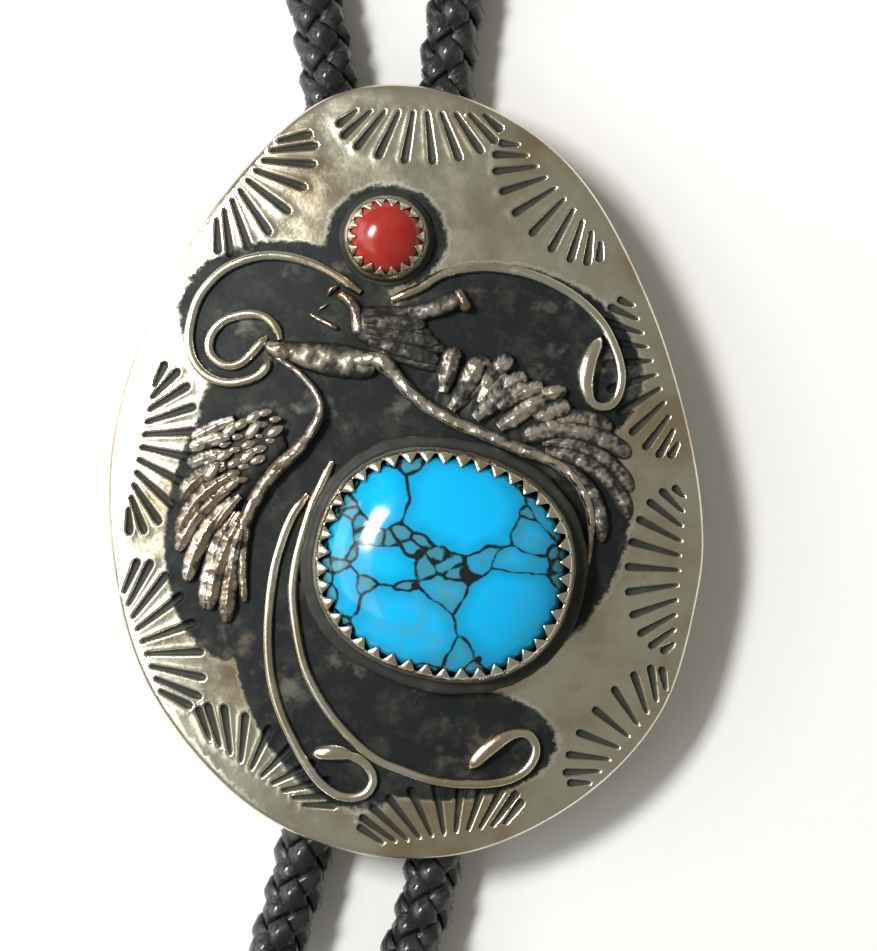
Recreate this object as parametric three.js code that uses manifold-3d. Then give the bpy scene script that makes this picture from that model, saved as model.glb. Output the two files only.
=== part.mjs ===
// Bolo tie lying face up: a domed silver slide with a cast eagle, scroll wires and two cabochons,
// on one braided leather cord. Millimetres, +Z out of the slide's face, +Y towards the neck.
import * as THREE from 'three';
import { mergeVertices } from 'three/addons/utils/BufferGeometryUtils.js';
import Module from 'manifold-3d';

const wasm = await Module();
wasm.setup();

// Driving dimensions.
const GAP = 0.3;

const PLATE = {
  halfWidth: 24.2, halfLength: 31.5, topHeight: 9.4, thickness: 1.2, dome: 2.4, domePower: 1.1,
  edgeRadius: 0.35, segments: 64,
};
const CORD = { radius: 2.5, clipHeight: 3.5, floorHeight: 2.55, sides: 10, steps: 80 };
const TIP = { length: 38, socketDepth: 12, wall: 0.7, endRadius: 1.1, sides: 20 };
const CLIP = {
  centreX: -2.0, halfWidth: 8.0, halfLength: 11.0, floorPlate: 0.7, web: 3.4, roofPlate: 0.6,
  postRadius: 3.2,
};
const TURQUOISE = {
  x: 3.06, y: -7.5, halfLength: 10.6, halfWidth: 9.3, turn: -0.26, squareness: 2.25,
  bezelHeight: 2.5, bezelWall: 0.85, collar: 0.9, collarHeight: 0.7, crown: 4.9, segments: 48,
};
const CORAL = {
  x: -1.6, y: 18.9, halfLength: 3.5, halfWidth: 3.5, turn: 0, squareness: 2,
  bezelHeight: 1.7, bezelWall: 0.55, collar: 0.35, collarHeight: 0.3, crown: 3.2, segments: 28,
};
const WIRE = { radius: 0.34, sides: 6, sink: 0.12 };
const RELIEF = { sink: 0.5, bevel: 0.5 };

// The egg-shaped rim, anticlockwise from the right.
const RIM = [
  [24.1, -3.5], [22.6, 5.0], [19.6, 14.2], [14.7, 23.3], [8.4, 28.8], [0.6, 31.5],
  [-7.2, 30.1], [-14.9, 22.6], [-20.8, 12.8], [-24.0, 2.1], [-23.7, -9.1], [-20.6, -18.4],
  [-13.6, -26.7], [-5.0, -30.9], [4.8, -31.1], [14.2, -26.7], [20.8, -19.6], [23.7, -10.2],
];

// Scroll wires, each a run of round wire lying on the plate, from its plain end to its curled end.
const WIRES = {
  left_swirl: [
    [-3.7, 14.5], [-7.5, 16.8], [-11.6, 17.5], [-15.3, 16.0], [-17.5, 12.1], [-17.1, 8.8],
    [-14.5, 7.1], [-11.6, 8.1], [-10.3, 10.6], [-12.3, 12.7], [-15.0, 12.1], [-15.9, 10.2],
    [-14.5, 8.6], [-12.7, 9.7],
  ],
  right_arc: [
    [-1.2, 13.9], [2.8, 15.9], [6.9, 16.5], [11.9, 15.2], [15.8, 12.3], [17.4, 8.6],
    [17.0, 5.9], [15.4, 5.3], [14.5, 7.3], [15.2, 10.0],
  ],
  lower_outer: [
    [-8.0, -1.8], [-9.9, -5.0], [-10.9, -9.6], [-11.3, -14.4], [-10.2, -19.6], [-8.2, -23.5],
    [-5.6, -26.2], [-3.1, -25.9], [-3.3, -23.6], [-6.2, -22.7],
  ],
  lower_inner: [
    [-6.0, 0.8], [-8.2, -4.5], [-9.2, -9.6], [-8.4, -15.7], [-5.2, -20.9], [-0.5, -24.1],
    [5.3, -25.3], [9.2, -24.6], [10.5, -22.4], [8.6, -21.3], [5.6, -23.4],
  ],
};

// The cast eagle's flat parts: closed outlines, and how far each stands off the plate.
const EAGLE = {
  left_wing: { rise: 1.6, outline: [
    [-8.6, 8.1], [-11.9, 6.8], [-15.0, 5.6], [-17.0, 3.4], [-18.4, -0.2], [-19.0, -5.0],
    [-18.2, -9.4], [-15.5, -12.4], [-12.7, -13.3], [-12.5, -8.5], [-11.8, -3.4], [-9.0, 0.7],
    [-7.0, 3.2], [-6.9, 5.8],
  ] },
  right_wing: { rise: 1.7, outline: [
    [-0.5, 8.6], [1.5, 6.1], [4.2, 3.4], [8.2, 1.7], [12.4, 0.2], [15.1, -2.5], [15.6, -5.2],
    [14.9, -7.9], [17.4, -6.2], [18.4, -2.5], [17.8, 1.9], [14.9, 5.2], [11.2, 6.9], [7.8, 9.0],
    [2.8, 9.9],
  ] },
  tail: { rise: 1.4, outline: [
    [-6.2, 8.8], [-0.6, 8.9], [3.2, 9.9], [2.4, 11.9], [5.1, 13.0], [4.7, 14.4], [0.3, 13.3],
    [-3.6, 13.6], [-5.9, 14.4], [-5.4, 12.4], [-7.9, 11.6],
  ] },
};
const EAGLE_BODY = {
  radius: 1.25, flattening: 0.8, rise: 0.9, sides: 10,
  spine: [[-10.6, 9.9], [-8.6, 9.3], [-5.4, 8.8], [-1.7, 8.3], [0.9, 6.2]],
};

// The cord's middle line from the left tail, round the neck, to the right tail: [x, y, height].
const LOW = CORD.floorHeight;
const HIGH = CORD.clipHeight;
const IN_TIP = CORD.radius + GAP + TIP.wall + 0.02;
const ROUTE = [
  [-15.8, -54.0, IN_TIP], [-13.8, -48.0, IN_TIP], [-11.8, -42.0, IN_TIP - 0.1],
  [-9.4, -35.0, LOW + 0.1], [-7.6, -26.0, 2.9],
  [-6.9, -15.0, HIGH], [-6.6, 0, HIGH], [-6.4, 15.0, HIGH], [-6.2, 26.0, 2.9],
  [-7.0, 36.0, LOW], [-12.0, 56.0, LOW], [-25.0, 84.0, LOW], [-45.0, 118.0, LOW],
  [-68.0, 156.0, LOW], [-86.0, 197.0, LOW], [-95.0, 240.0, LOW], [-91.0, 282.0, LOW],
  [-73.0, 320.0, LOW], [-43.0, 347.0, LOW], [-2.0, 357.0, LOW], [39.0, 347.0, LOW],
  [69.0, 320.0, LOW], [87.0, 282.0, LOW], [91.0, 240.0, LOW], [82.0, 197.0, LOW],
  [64.0, 156.0, LOW], [41.0, 118.0, LOW], [20.0, 84.0, LOW], [7.6, 56.0, LOW],
  [3.7, 36.0, LOW], [3.1, 26.0, 2.9], [2.9, 15.0, HIGH], [2.9, 0, HIGH],
  [3.0, -15.0, HIGH], [2.8, -26.0, 2.9], [1.7, -35.0, LOW + 0.1],
  [-0.8, -42.0, IN_TIP - 0.1], [-2.9, -48.0, IN_TIP], [-5.0, -54.0, IN_TIP],
];

// Height of the plate's upper face above the surface that the tie lies on.
function plateTop(x, y) {
  const spread = (x / PLATE.halfWidth) ** 2 + (y / PLATE.halfLength) ** 2;
  return PLATE.topHeight - PLATE.dome * spread ** PLATE.domePower;
}

// A closed smooth line through flat points.
function closedCurve(points) {
  return new THREE.CatmullRomCurve3(points.map(([x, y]) => new THREE.Vector3(x, y, 0)), true);
}

// A set stone's outline, slightly squarer than an ellipse, at a share t of the way round.
function ovalPoint(stone, t) {
  const angle = t * 2 * Math.PI;
  const power = 2 / stone.squareness;
  const shaped = (value) => Math.sign(value) * Math.abs(value) ** power;
  const point = new THREE.Vector2(
    stone.halfLength * shaped(Math.cos(angle)), stone.halfWidth * shaped(Math.sin(angle)));
  return point.rotateAround(new THREE.Vector2(), stone.turn);
}

// Turns a profile and stretches each turn to an outline: x is the share of the outline's reach.
function turned(profile, segments, outline) {
  const points = profile.map(([share, height]) => new THREE.Vector2(share, height));
  const geometry = new THREE.LatheGeometry(points, segments);
  const position = geometry.getAttribute('position');
  for (let i = 0; i < position.count; i++) {
    const [share, height] = profile[i % profile.length];
    const reach = outline(Math.floor(i / profile.length) / segments);
    position.setXYZ(i, reach.x * share, reach.y * share, height);
  }
  return geometry;
}

// Moves a shape so that height zero follows the plate's upper face.
function laidOnPlate(geometry) {
  const position = geometry.getAttribute('position');
  for (let i = 0; i < position.count; i++) {
    position.setZ(i, position.getZ(i) + plateTop(position.getX(i), position.getY(i)));
  }
  return geometry;
}

// A round tube along a line.
function tube(curve, radius, sides, steps, flattening = 1) {
  const section = new THREE.Shape();
  section.absellipse(0, 0, radius * flattening, radius, 0, 2 * Math.PI);
  return new THREE.ExtrudeGeometry(new THREE.Shape(section.getPoints(sides / 2)), {
    steps, extrudePath: curve, bevelEnabled: false,
  });
}

// A closed geometry as a solid that can be joined and cut.
function solid(geometry) {
  const bare = geometry.clone();
  bare.deleteAttribute('normal');
  bare.deleteAttribute('uv');
  const merged = mergeVertices(bare, 1e-4);
  const index = merged.getIndex().array;
  const triangles = [];
  for (let i = 0; i < index.length; i += 3) {
    const [a, b, c] = [index[i], index[i + 1], index[i + 2]];
    if (a !== b && b !== c && c !== a) triangles.push(a, b, c);
  }
  return new wasm.Manifold(new wasm.Mesh({
    numProp: 3,
    vertProperties: new Float32Array(merged.getAttribute('position').array),
    triVerts: new Uint32Array(triangles),
  }));
}

// A joined solid back as a geometry.
function geometryOf(manifold) {
  const mesh = manifold.getMesh();
  const geometry = new THREE.BufferGeometry();
  geometry.setAttribute('position', new THREE.BufferAttribute(mesh.vertProperties, 3));
  geometry.setIndex(new THREE.BufferAttribute(mesh.triVerts, 1));
  return geometry;
}

function material(color, roughness, metalness) {
  return new THREE.MeshStandardMaterial({ color, roughness, metalness });
}

function piece(name, geometry, look) {
  const mesh = new THREE.Mesh(geometry, look);
  mesh.name = name;
  return mesh;
}

// The domed plate with its rounded rim.
function domedPlate() {
  const curve = closedCurve(RIM);
  const edge = PLATE.edgeRadius / PLATE.halfWidth;
  const under = -PLATE.thickness;
  const profile = [
    [0, under], [0.3, under], [0.55, under], [0.78, under], [0.92, under], [1 - edge, under],
    [1, under + PLATE.edgeRadius], [1, -PLATE.edgeRadius], [1 - edge, 0], [0.92, 0], [0.78, 0],
    [0.55, 0], [0.3, 0], [0, 0],
  ];
  return laidOnPlate(turned(profile, PLATE.segments, (t) => curve.getPoint(t)));
}

// A bezel wall that leans in over its stone, with the collar that it stands on.
function bezel(stone) {
  const inner = 1 - stone.bezelWall / stone.halfWidth;
  const outer = 1 + stone.collar / stone.halfWidth;
  const base = plateTop(stone.x, stone.y);
  const profile = [
    [inner, base - 0.6], [outer, base - 0.6], [outer, base + stone.collarHeight - 0.2],
    [outer - 0.02, base + stone.collarHeight], [1.01, base + stone.collarHeight],
    [1, base + stone.bezelHeight * 0.8], [inner + 0.03, base + stone.bezelHeight],
    [inner, base + stone.bezelHeight - 0.15], [inner, base - 0.6],
  ];
  const ring = turned(profile, stone.segments, (t) => ovalPoint(stone, t));
  return ring.translate(stone.x, stone.y, 0);
}

// A cabochon: flat base, short wall inside its bezel, domed crown.
function cabochon(stone) {
  const reach = 1 - (stone.bezelWall + GAP) / stone.halfWidth;
  const base = plateTop(stone.x, stone.y) + GAP;
  const girdle = base + stone.bezelHeight * 0.72;
  const crown = plateTop(stone.x, stone.y) + stone.crown;
  const rings = 7;
  const profile = [[0, base], [reach, base], [reach, girdle]];
  for (let i = 1; i <= rings; i++) {
    const angle = (i / rings) * Math.PI / 2;
    const height = girdle + (crown - girdle) * Math.sin(angle);
    profile.push([i === rings ? 0 : reach * Math.cos(angle), height]);
  }
  const dome = turned(profile, stone.segments, (t) => ovalPoint(stone, t));
  return dome.translate(stone.x, stone.y, 0);
}

function scrollWire(points) {
  const height = WIRE.radius - WIRE.sink;
  const line = new THREE.CatmullRomCurve3(
    points.map(([x, y]) => new THREE.Vector3(x, y, plateTop(x, y) + height)));
  return tube(line, WIRE.radius, WIRE.sides, points.length * 2);
}

function eaglePart({ outline, rise }) {
  const shape = new THREE.Shape(
    closedCurve(outline).getPoints(outline.length * 2).map((p) => new THREE.Vector2(p.x, p.y)));
  const relief = new THREE.ExtrudeGeometry(shape, {
    depth: RELIEF.sink + rise - RELIEF.bevel, bevelEnabled: true, bevelSegments: 1,
    bevelSize: RELIEF.bevel, bevelThickness: RELIEF.bevel, bevelOffset: -RELIEF.bevel,
  });
  return laidOnPlate(relief.translate(0, 0, -RELIEF.sink));
}

function eagleBody() {
  const line = new THREE.CatmullRomCurve3(EAGLE_BODY.spine.map(
    ([x, y]) => new THREE.Vector3(x, y, plateTop(x, y) + EAGLE_BODY.rise)));
  return tube(line, EAGLE_BODY.radius, EAGLE_BODY.sides, 10, EAGLE_BODY.flattening);
}

// All the soldered silver as one solid.
function slidePlate() {
  const parts = [
    domedPlate(), bezel(TURQUOISE), bezel(CORAL), eagleBody(),
    ...Object.values(EAGLE).map(eaglePart),
    ...Object.values(WIRES).map(scrollWire),
  ];
  return geometryOf(parts.map(solid).reduce((joined, next) => joined.add(next)));
}

// The hidden clip: an I-shaped rail whose two side channels hold the cord's runs, with a short
// post up to the plate.
function backClip() {
  const roof = CORD.clipHeight + CORD.radius + GAP;
  const top = roof + CLIP.roofPlate;
  const [wide, web] = [CLIP.halfWidth, CLIP.web / 2];
  const section = new THREE.Shape([
    [-wide, 0], [wide, 0], [wide, CLIP.floorPlate], [web, CLIP.floorPlate], [web, roof],
    [wide, roof], [wide, top], [-wide, top], [-wide, roof], [-web, roof],
    [-web, CLIP.floorPlate], [-wide, CLIP.floorPlate],
  ].map(([x, z]) => new THREE.Vector2(x, z)));
  const rail = new THREE.ExtrudeGeometry(section, {
    depth: 2 * CLIP.halfLength, bevelEnabled: false,
  });
  rail.rotateX(Math.PI / 2).translate(CLIP.centreX, CLIP.halfLength, 0);
  const postTop = PLATE.topHeight - PLATE.thickness - GAP - 0.1;
  const post = new THREE.CylinderGeometry(CLIP.postRadius, CLIP.postRadius, postTop - roof, 20);
  post.rotateX(Math.PI / 2).translate(CLIP.centreX, 0, (postTop + roof) / 2);
  return geometryOf(solid(rail).add(solid(post)));
}

const route = new THREE.CatmullRomCurve3(
  ROUTE.map(([x, y, z]) => new THREE.Vector3(x, y, z)), false, 'catmullrom', 0.5);

// A plain metal tip whose socket holds a tail's end, along the line that the tail leaves on.
function cordTip(end, inward) {
  const bore = CORD.radius + GAP;
  const outer = bore + TIP.wall;
  const depth = TIP.socketDepth;
  const profile = [
    [0, depth + GAP], [bore, depth + GAP], [bore, 0], [outer, 0], [outer, depth],
    [outer * 0.86, depth + (TIP.length - depth) * 0.35],
    [TIP.endRadius, TIP.length - TIP.endRadius], [TIP.endRadius * 0.7, TIP.length - 0.3],
    [0, TIP.length],
  ].map(([r, y]) => new THREE.Vector2(r, y));
  const tip = new THREE.LatheGeometry(profile, TIP.sides);
  const heading = end.clone().sub(inward).setZ(0).normalize();
  const mouth = end.clone().addScaledVector(heading, -depth);
  tip.rotateZ(Math.atan2(-heading.x, heading.y));
  return tip.translate(mouth.x, mouth.y, IN_TIP);
}

const silver = material(0xb9b6a6, 0.35, 1.0);
const plainMetal = material(0xc4c2bb, 0.3, 1.0);
const turquoise = material(0x11a5d8, 0.25, 0.0);
const coral = material(0xc63c33, 0.25, 0.0);
const leather = material(0x171614, 0.4, 0.0);

const tie = new THREE.Group();
tie.add(
  piece('slide_plate', slidePlate(), silver),
  piece('turquoise_stone', cabochon(TURQUOISE), turquoise),
  piece('coral_stone', cabochon(CORAL), coral),
  piece('back_clip', backClip(), plainMetal),
  piece('neck_cord', tube(route, CORD.radius, CORD.sides, CORD.steps), leather),
  piece('cord_tip_left', cordTip(route.getPoint(0), route.getPoint(0.01)), plainMetal),
  piece('cord_tip_right', cordTip(route.getPoint(1), route.getPoint(0.99)), plainMetal),
);

export default tie;
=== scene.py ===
import math
from collections import namedtuple

import bmesh
import bpy
import numpy as np
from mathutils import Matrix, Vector, noise
from mathutils.geometry import delaunay_2d_cdt


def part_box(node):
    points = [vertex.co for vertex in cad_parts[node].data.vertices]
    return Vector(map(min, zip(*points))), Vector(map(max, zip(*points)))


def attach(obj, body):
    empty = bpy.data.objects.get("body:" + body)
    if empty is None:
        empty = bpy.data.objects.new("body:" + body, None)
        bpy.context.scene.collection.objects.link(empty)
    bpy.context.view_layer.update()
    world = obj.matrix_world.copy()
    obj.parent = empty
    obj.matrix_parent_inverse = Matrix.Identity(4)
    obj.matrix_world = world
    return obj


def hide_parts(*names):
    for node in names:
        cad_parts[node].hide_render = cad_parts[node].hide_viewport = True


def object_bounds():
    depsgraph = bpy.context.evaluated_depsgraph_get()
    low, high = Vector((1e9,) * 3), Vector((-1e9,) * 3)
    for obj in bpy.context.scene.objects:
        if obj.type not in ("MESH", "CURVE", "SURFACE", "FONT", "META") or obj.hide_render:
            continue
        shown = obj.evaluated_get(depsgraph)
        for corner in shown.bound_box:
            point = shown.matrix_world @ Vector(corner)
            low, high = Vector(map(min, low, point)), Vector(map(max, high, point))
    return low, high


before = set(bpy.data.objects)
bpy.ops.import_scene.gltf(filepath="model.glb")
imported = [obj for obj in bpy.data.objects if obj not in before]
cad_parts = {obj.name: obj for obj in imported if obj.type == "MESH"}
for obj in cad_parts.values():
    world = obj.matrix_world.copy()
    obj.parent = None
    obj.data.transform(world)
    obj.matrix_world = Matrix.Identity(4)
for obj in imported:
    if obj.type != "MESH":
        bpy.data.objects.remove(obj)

bl_info = {
    "name": "Bolo tie",
    "version": (1, 0, 0),
    "blender": (4, 5, 0),
    "location": "View3D > Sidebar > Bolo Tie",
    "description": "A stamped silver slide with a cast eagle and two stones, on a braided leather cord",
    "category": "Add Mesh",
}

CAD_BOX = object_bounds()
BODY = "root"
MM = 0.001

# The slide's face, in millimetres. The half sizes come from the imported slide.
SLIDE_LOW, SLIDE_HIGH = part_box("slide_plate")
HALF_WIDTH = round((SLIDE_HIGH.x - SLIDE_LOW.x) / 2 / MM, 1)
HALF_LENGTH = round((SLIDE_HIGH.y - SLIDE_LOW.y) / 2 / MM, 1)
TOP_HEIGHT = 9.4
THICKNESS = 1.2
DOME = 2.4
DOME_POWER = 1.1
EDGE_RADIUS = 0.35

# The egg-shaped rim, anticlockwise from the right.
RIM = (
    (24.1, -3.5), (22.6, 5.0), (19.6, 14.2), (14.7, 23.3), (8.4, 28.8), (0.6, 31.5),
    (-7.2, 30.1), (-14.9, 22.6), (-20.8, 12.8), (-24.0, 2.1), (-23.7, -9.1), (-20.6, -18.4),
    (-13.6, -26.7), (-5.0, -30.9), (4.8, -31.1), (14.2, -26.7), (20.8, -19.6), (23.7, -10.2),
)

# Stamped fans round the rim: the middle of the stamp's straight side, the way the fan faces,
# half the length of that side, half the spread of the stroke tips, the reach of the outer and
# of the middle strokes, and how many strokes it has.
Fan = namedtuple("Fan", "x y facing half_side half_spread near far strokes")
FANS = (
    Fan(1.1, 29.2, -92, 5.2, 6.5, 1.1, 4.0, 10),
    Fan(12.4, 22.6, -140, 5.2, 6.1, 0.9, 3.8, 10),
    Fan(20.2, 7.9, -162, 5.9, 6.6, 0.8, 3.8, 11),
    Fan(22.1, -8.0, 176, 6.0, 6.6, 0.7, 4.1, 11),
    Fan(18.0, -21.5, 141, 4.9, 5.9, 1.2, 3.4, 9),
    Fan(3.0, -29.4, 99, 5.0, 6.6, 1.5, 4.0, 11),
    Fan(-12.2, -24.4, 55, 4.7, 6.7, 1.4, 3.5, 10),
    Fan(-21.5, -13.8, 20, 4.3, 6.2, 1.8, 4.4, 9),
    Fan(-21.5, 2.0, -12, 5.2, 6.9, 0.4, 4.1, 11),
    Fan(-12.9, 23.7, -38, 4.1, 6.0, 1.6, 4.1, 9),
)

# Where dark oxide was left in the face, behind and round the soldered work: the middle, the half
# sizes and the turn in degrees of the ovals that make up its field.
Oval = namedtuple("Oval", "x y long short turn")
OXIDE_OVALS = (
    Oval(-9.5, 12.2, 9.2, 6.6, -8), Oval(-1.6, 19.0, 5.0, 4.4, 0), Oval(9.0, 9.2, 10.6, 7.4, -18),
    Oval(4.4, -4.4, 14.0, 12.4, 20), Oval(-13.0, -4.0, 11.6, 6.6, 82),
    Oval(-6.6, -16.6, 11.6, 6.8, 112), Oval(2.6, -22.0, 9.8, 4.8, 0), Oval(-7.4, 4.6, 9.6, 6.0, 0),
)

# The two set stones: the middle, the half sizes of the bezel's foot, its turn, how square the
# outline is (2 is an ellipse), the heights of the bezel and of the stone's crown over the face.
Setting = namedtuple(
    "Setting",
    "x y half_length half_width turn squareness wall_height wall collar collar_height crown teeth",
)
TURQUOISE = Setting(3.06, -7.5, 10.6, 9.3, -0.26, 2.25, 2.5, 0.85, 0.9, 0.7, 4.9, 42)
CORAL = Setting(-1.6, 18.9, 3.5, 3.5, 0.0, 2.0, 1.7, 0.55, 0.35, 0.3, 3.2, 18)
STONE_GAP = 0.3
# Spacing of a stone's rings and of the points round them.
STONE_SPACING = 0.14
# A bezel's teeth: how far in they fold, how far they reach past the wall, how thick they are, and
# how far their tips stay over the stone.
TOOTH_FOLD = 0.34
TOOTH_REACH = 0.12
TOOTH_THICKNESS = 0.12
TOOTH_CLEARANCE = 0.12
# How far in a bezel's inner face lies, as a share of its reach over the stone.
WALL_SHARE = 0.68

# How flat a crown is on top: 2 is an ellipse's section.
CROWN_POWER = 2.2
# How high a stone's wall stands, as a share of its bezel's.
GIRDLE_SHARE = 0.45

# The turquoise's patches of clear blue: middle, half sizes, turn in degrees, and how blue the
# patch is. Small grey cells fill what they leave, apart from knots of black web.
Patch = namedtuple("Patch", "x y long short turn blue")
TURQUOISE_PATCHES = (
    Patch(4.7, -2.6, 4.8, 3.5, -18, 1.0), Patch(8.1, -11.6, 4.2, 3.4, 35, 0.9),
    Patch(-0.1, -12.3, 4.1, 2.8, -15, 0.75), Patch(-1.9, -2.1, 2.2, 2.0, 30, 0.95),
    Patch(-1.5, -7.4, 2.5, 1.5, -10, 0.95), Patch(-5.2, -5.3, 1.5, 0.75, 80, 0.85),
    Patch(-4.6, -9.7, 1.9, 1.0, 105, 0.85), Patch(9.9, -5.2, 1.9, 1.3, -45, 0.6),
    Patch(8.8, -7.1, 2.4, 0.9, -8, 0.7), Patch(6.5, -6.7, 1.3, 0.8, 40, 0.5),
    Patch(10.9, -3.6, 1.7, 0.6, -55, 0.65), Patch(3.1, -9.8, 1.5, 1.1, -30, 0.5),
    Patch(4.5, -14.4, 1.5, 1.0, 60, 0.55),
)
Knot = namedtuple("Knot", "x y reach")
WEB_KNOTS = (Knot(4.8, -8.3, 0.75), Knot(1.2, -6.6, 0.5), Knot(0.8, -9.2, 0.4), Knot(5.8, -15.0, 0.4))
# How square a patch is: 2 is an ellipse.
PATCH_POWER = 2.5
# The small cells: their pitch, how far each may stray, how blue they are from least to most, and
# how far their middles stay outside the patches.
CELL_PITCH = 1.3
CELL_STRAY = 0.55
CELL_BLUE = (0.02, 0.4)
CELL_CLEARANCE = 0.2

# Scroll wires soldered to the face, each from its plain end to its curled end.
WIRES = {
    "left_swirl": (
        (-3.7, 14.5), (-5.6, 15.8), (-7.5, 16.8), (-9.6, 17.4), (-11.6, 17.5), (-13.6, 17.0),
        (-15.3, 16.0), (-16.8, 14.2), (-17.5, 12.1), (-17.6, 10.3), (-17.1, 8.8), (-16.0, 7.7),
        (-14.5, 7.2), (-12.9, 7.4), (-11.7, 8.0), (-11.0, 9.0),
    ),
    "left_curl": (
        (-10.2, 10.7), (-10.5, 11.6), (-11.4, 12.5), (-12.6, 12.8), (-13.9, 12.6), (-15.0, 12.1),
        (-15.8, 11.1), (-16.0, 10.0), (-15.5, 9.1), (-14.5, 8.6), (-13.4, 8.8), (-12.5, 9.6),
        (-11.3, 10.9),
    ),
    "right_arc": (
        (-1.2, 13.9), (1.0, 14.8), (2.8, 15.9), (4.8, 16.4), (6.9, 16.5), (9.5, 16.1), (11.9, 15.2),
        (14.0, 13.9), (15.8, 12.1), (16.9, 10.0), (17.4, 8.0), (17.2, 6.4), (16.5, 5.4),
        (15.4, 5.3), (14.7, 6.1), (14.5, 7.6), (14.9, 9.3), (15.7, 10.8),
    ),
    "lower_outer": (
        (-8.0, -1.8), (-9.1, -3.3), (-9.9, -5.1), (-10.6, -7.4), (-11.0, -9.8), (-11.2, -12.2),
        (-11.2, -14.6), (-10.9, -17.2), (-10.2, -19.6), (-9.2, -21.8), (-8.2, -23.6), (-7.0, -25.2),
        (-5.6, -26.2), (-4.2, -26.4), (-3.1, -25.9), (-2.7, -24.8), (-3.4, -23.6), (-4.8, -22.9),
        (-6.2, -22.7), (-7.6, -22.9),
    ),
    "lower_inner": (
        (-6.0, 0.8), (-6.8, -0.9), (-7.6, -2.7), (-8.3, -4.9), (-8.9, -7.2), (-9.2, -9.6),
        (-9.0, -12.2), (-8.4, -15.3), (-7.5, -17.5), (-6.4, -19.3), (-5.1, -20.9), (-3.7, -22.3),
        (-2.2, -23.4), (-0.5, -24.1), (1.4, -24.8), (3.3, -25.2), (5.3, -25.3), (7.2, -25.2),
        (8.9, -24.7), (10.1, -23.7), (10.5, -22.4), (9.9, -21.3), (8.6, -21.2), (7.4, -21.8),
        (6.1, -22.9), (5.1, -24.0),
    ),
}
# How much of a wire's curled end is hammered wider.
FLAT_ENDED = {"right_arc": 5.5, "lower_outer": 3, "lower_inner": 5}

# Feathers of the cast eagle come in sprays: how many, the first and the last, how much longer the
# middle ones are, and how high the roots stand. A feather has a root, a heading in degrees, a
# length, how far it turns along its length, and a width.
Feather = namedtuple("Feather", "x y heading length bend width")
Spray = namedtuple("Spray", "count first last bulge lift")
LEFT_WING = (
    Spray(7, Feather(-14.6, 0.5, 188, 4.8, 58, 1.5), Feather(-13.4, -5.0, 254, 7.6, 18, 1.6), 1.6, 0.55),
    Spray(3, Feather(-13.9, 4.3, 196, 3.4, 8, 1.2), Feather(-14.6, 1.5, 188, 3.4, 20, 1.3), 0.2, 0.75),
    Spray(4, Feather(-13.4, -0.6, 205, 3.2, 30, 1.0), Feather(-13.3, -4.6, 246, 3.8, 20, 1.0), 0.3, 0.95),
)
RIGHT_WING = (
    Spray(5, Feather(10.6, 3.9, 20, 6.4, -46, 1.7), Feather(11.4, 0.9, -14, 8.8, -84, 1.4), 1.2, 0.55),
)
SHOULDER = (
    Spray(5, Feather(5.0, 7.2, 62, 3.0, -20, 1.6), Feather(10.0, 5.6, 28, 2.8, -30, 1.4), 0.0, 0.65),
    Spray(6, Feather(3.0, 6.4, 78, 3.5, -14, 1.8), Feather(10.4, 4.2, 28, 3.0, -16, 1.6), 0.0, 0.8),
    Spray(4, Feather(3.6, 5.0, 52, 3.4, -8, 1.8), Feather(9.4, 2.8, 22, 3.4, -6, 1.8), 0.0, 0.95),
)
TAIL = (
    Spray(7, Feather(-3.5, 12.7, 4, 4.6, -6, 1.2), Feather(-2.9, 10.1, -18, 5.6, -4, 1.2), 1.0, 0.8),
)

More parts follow.
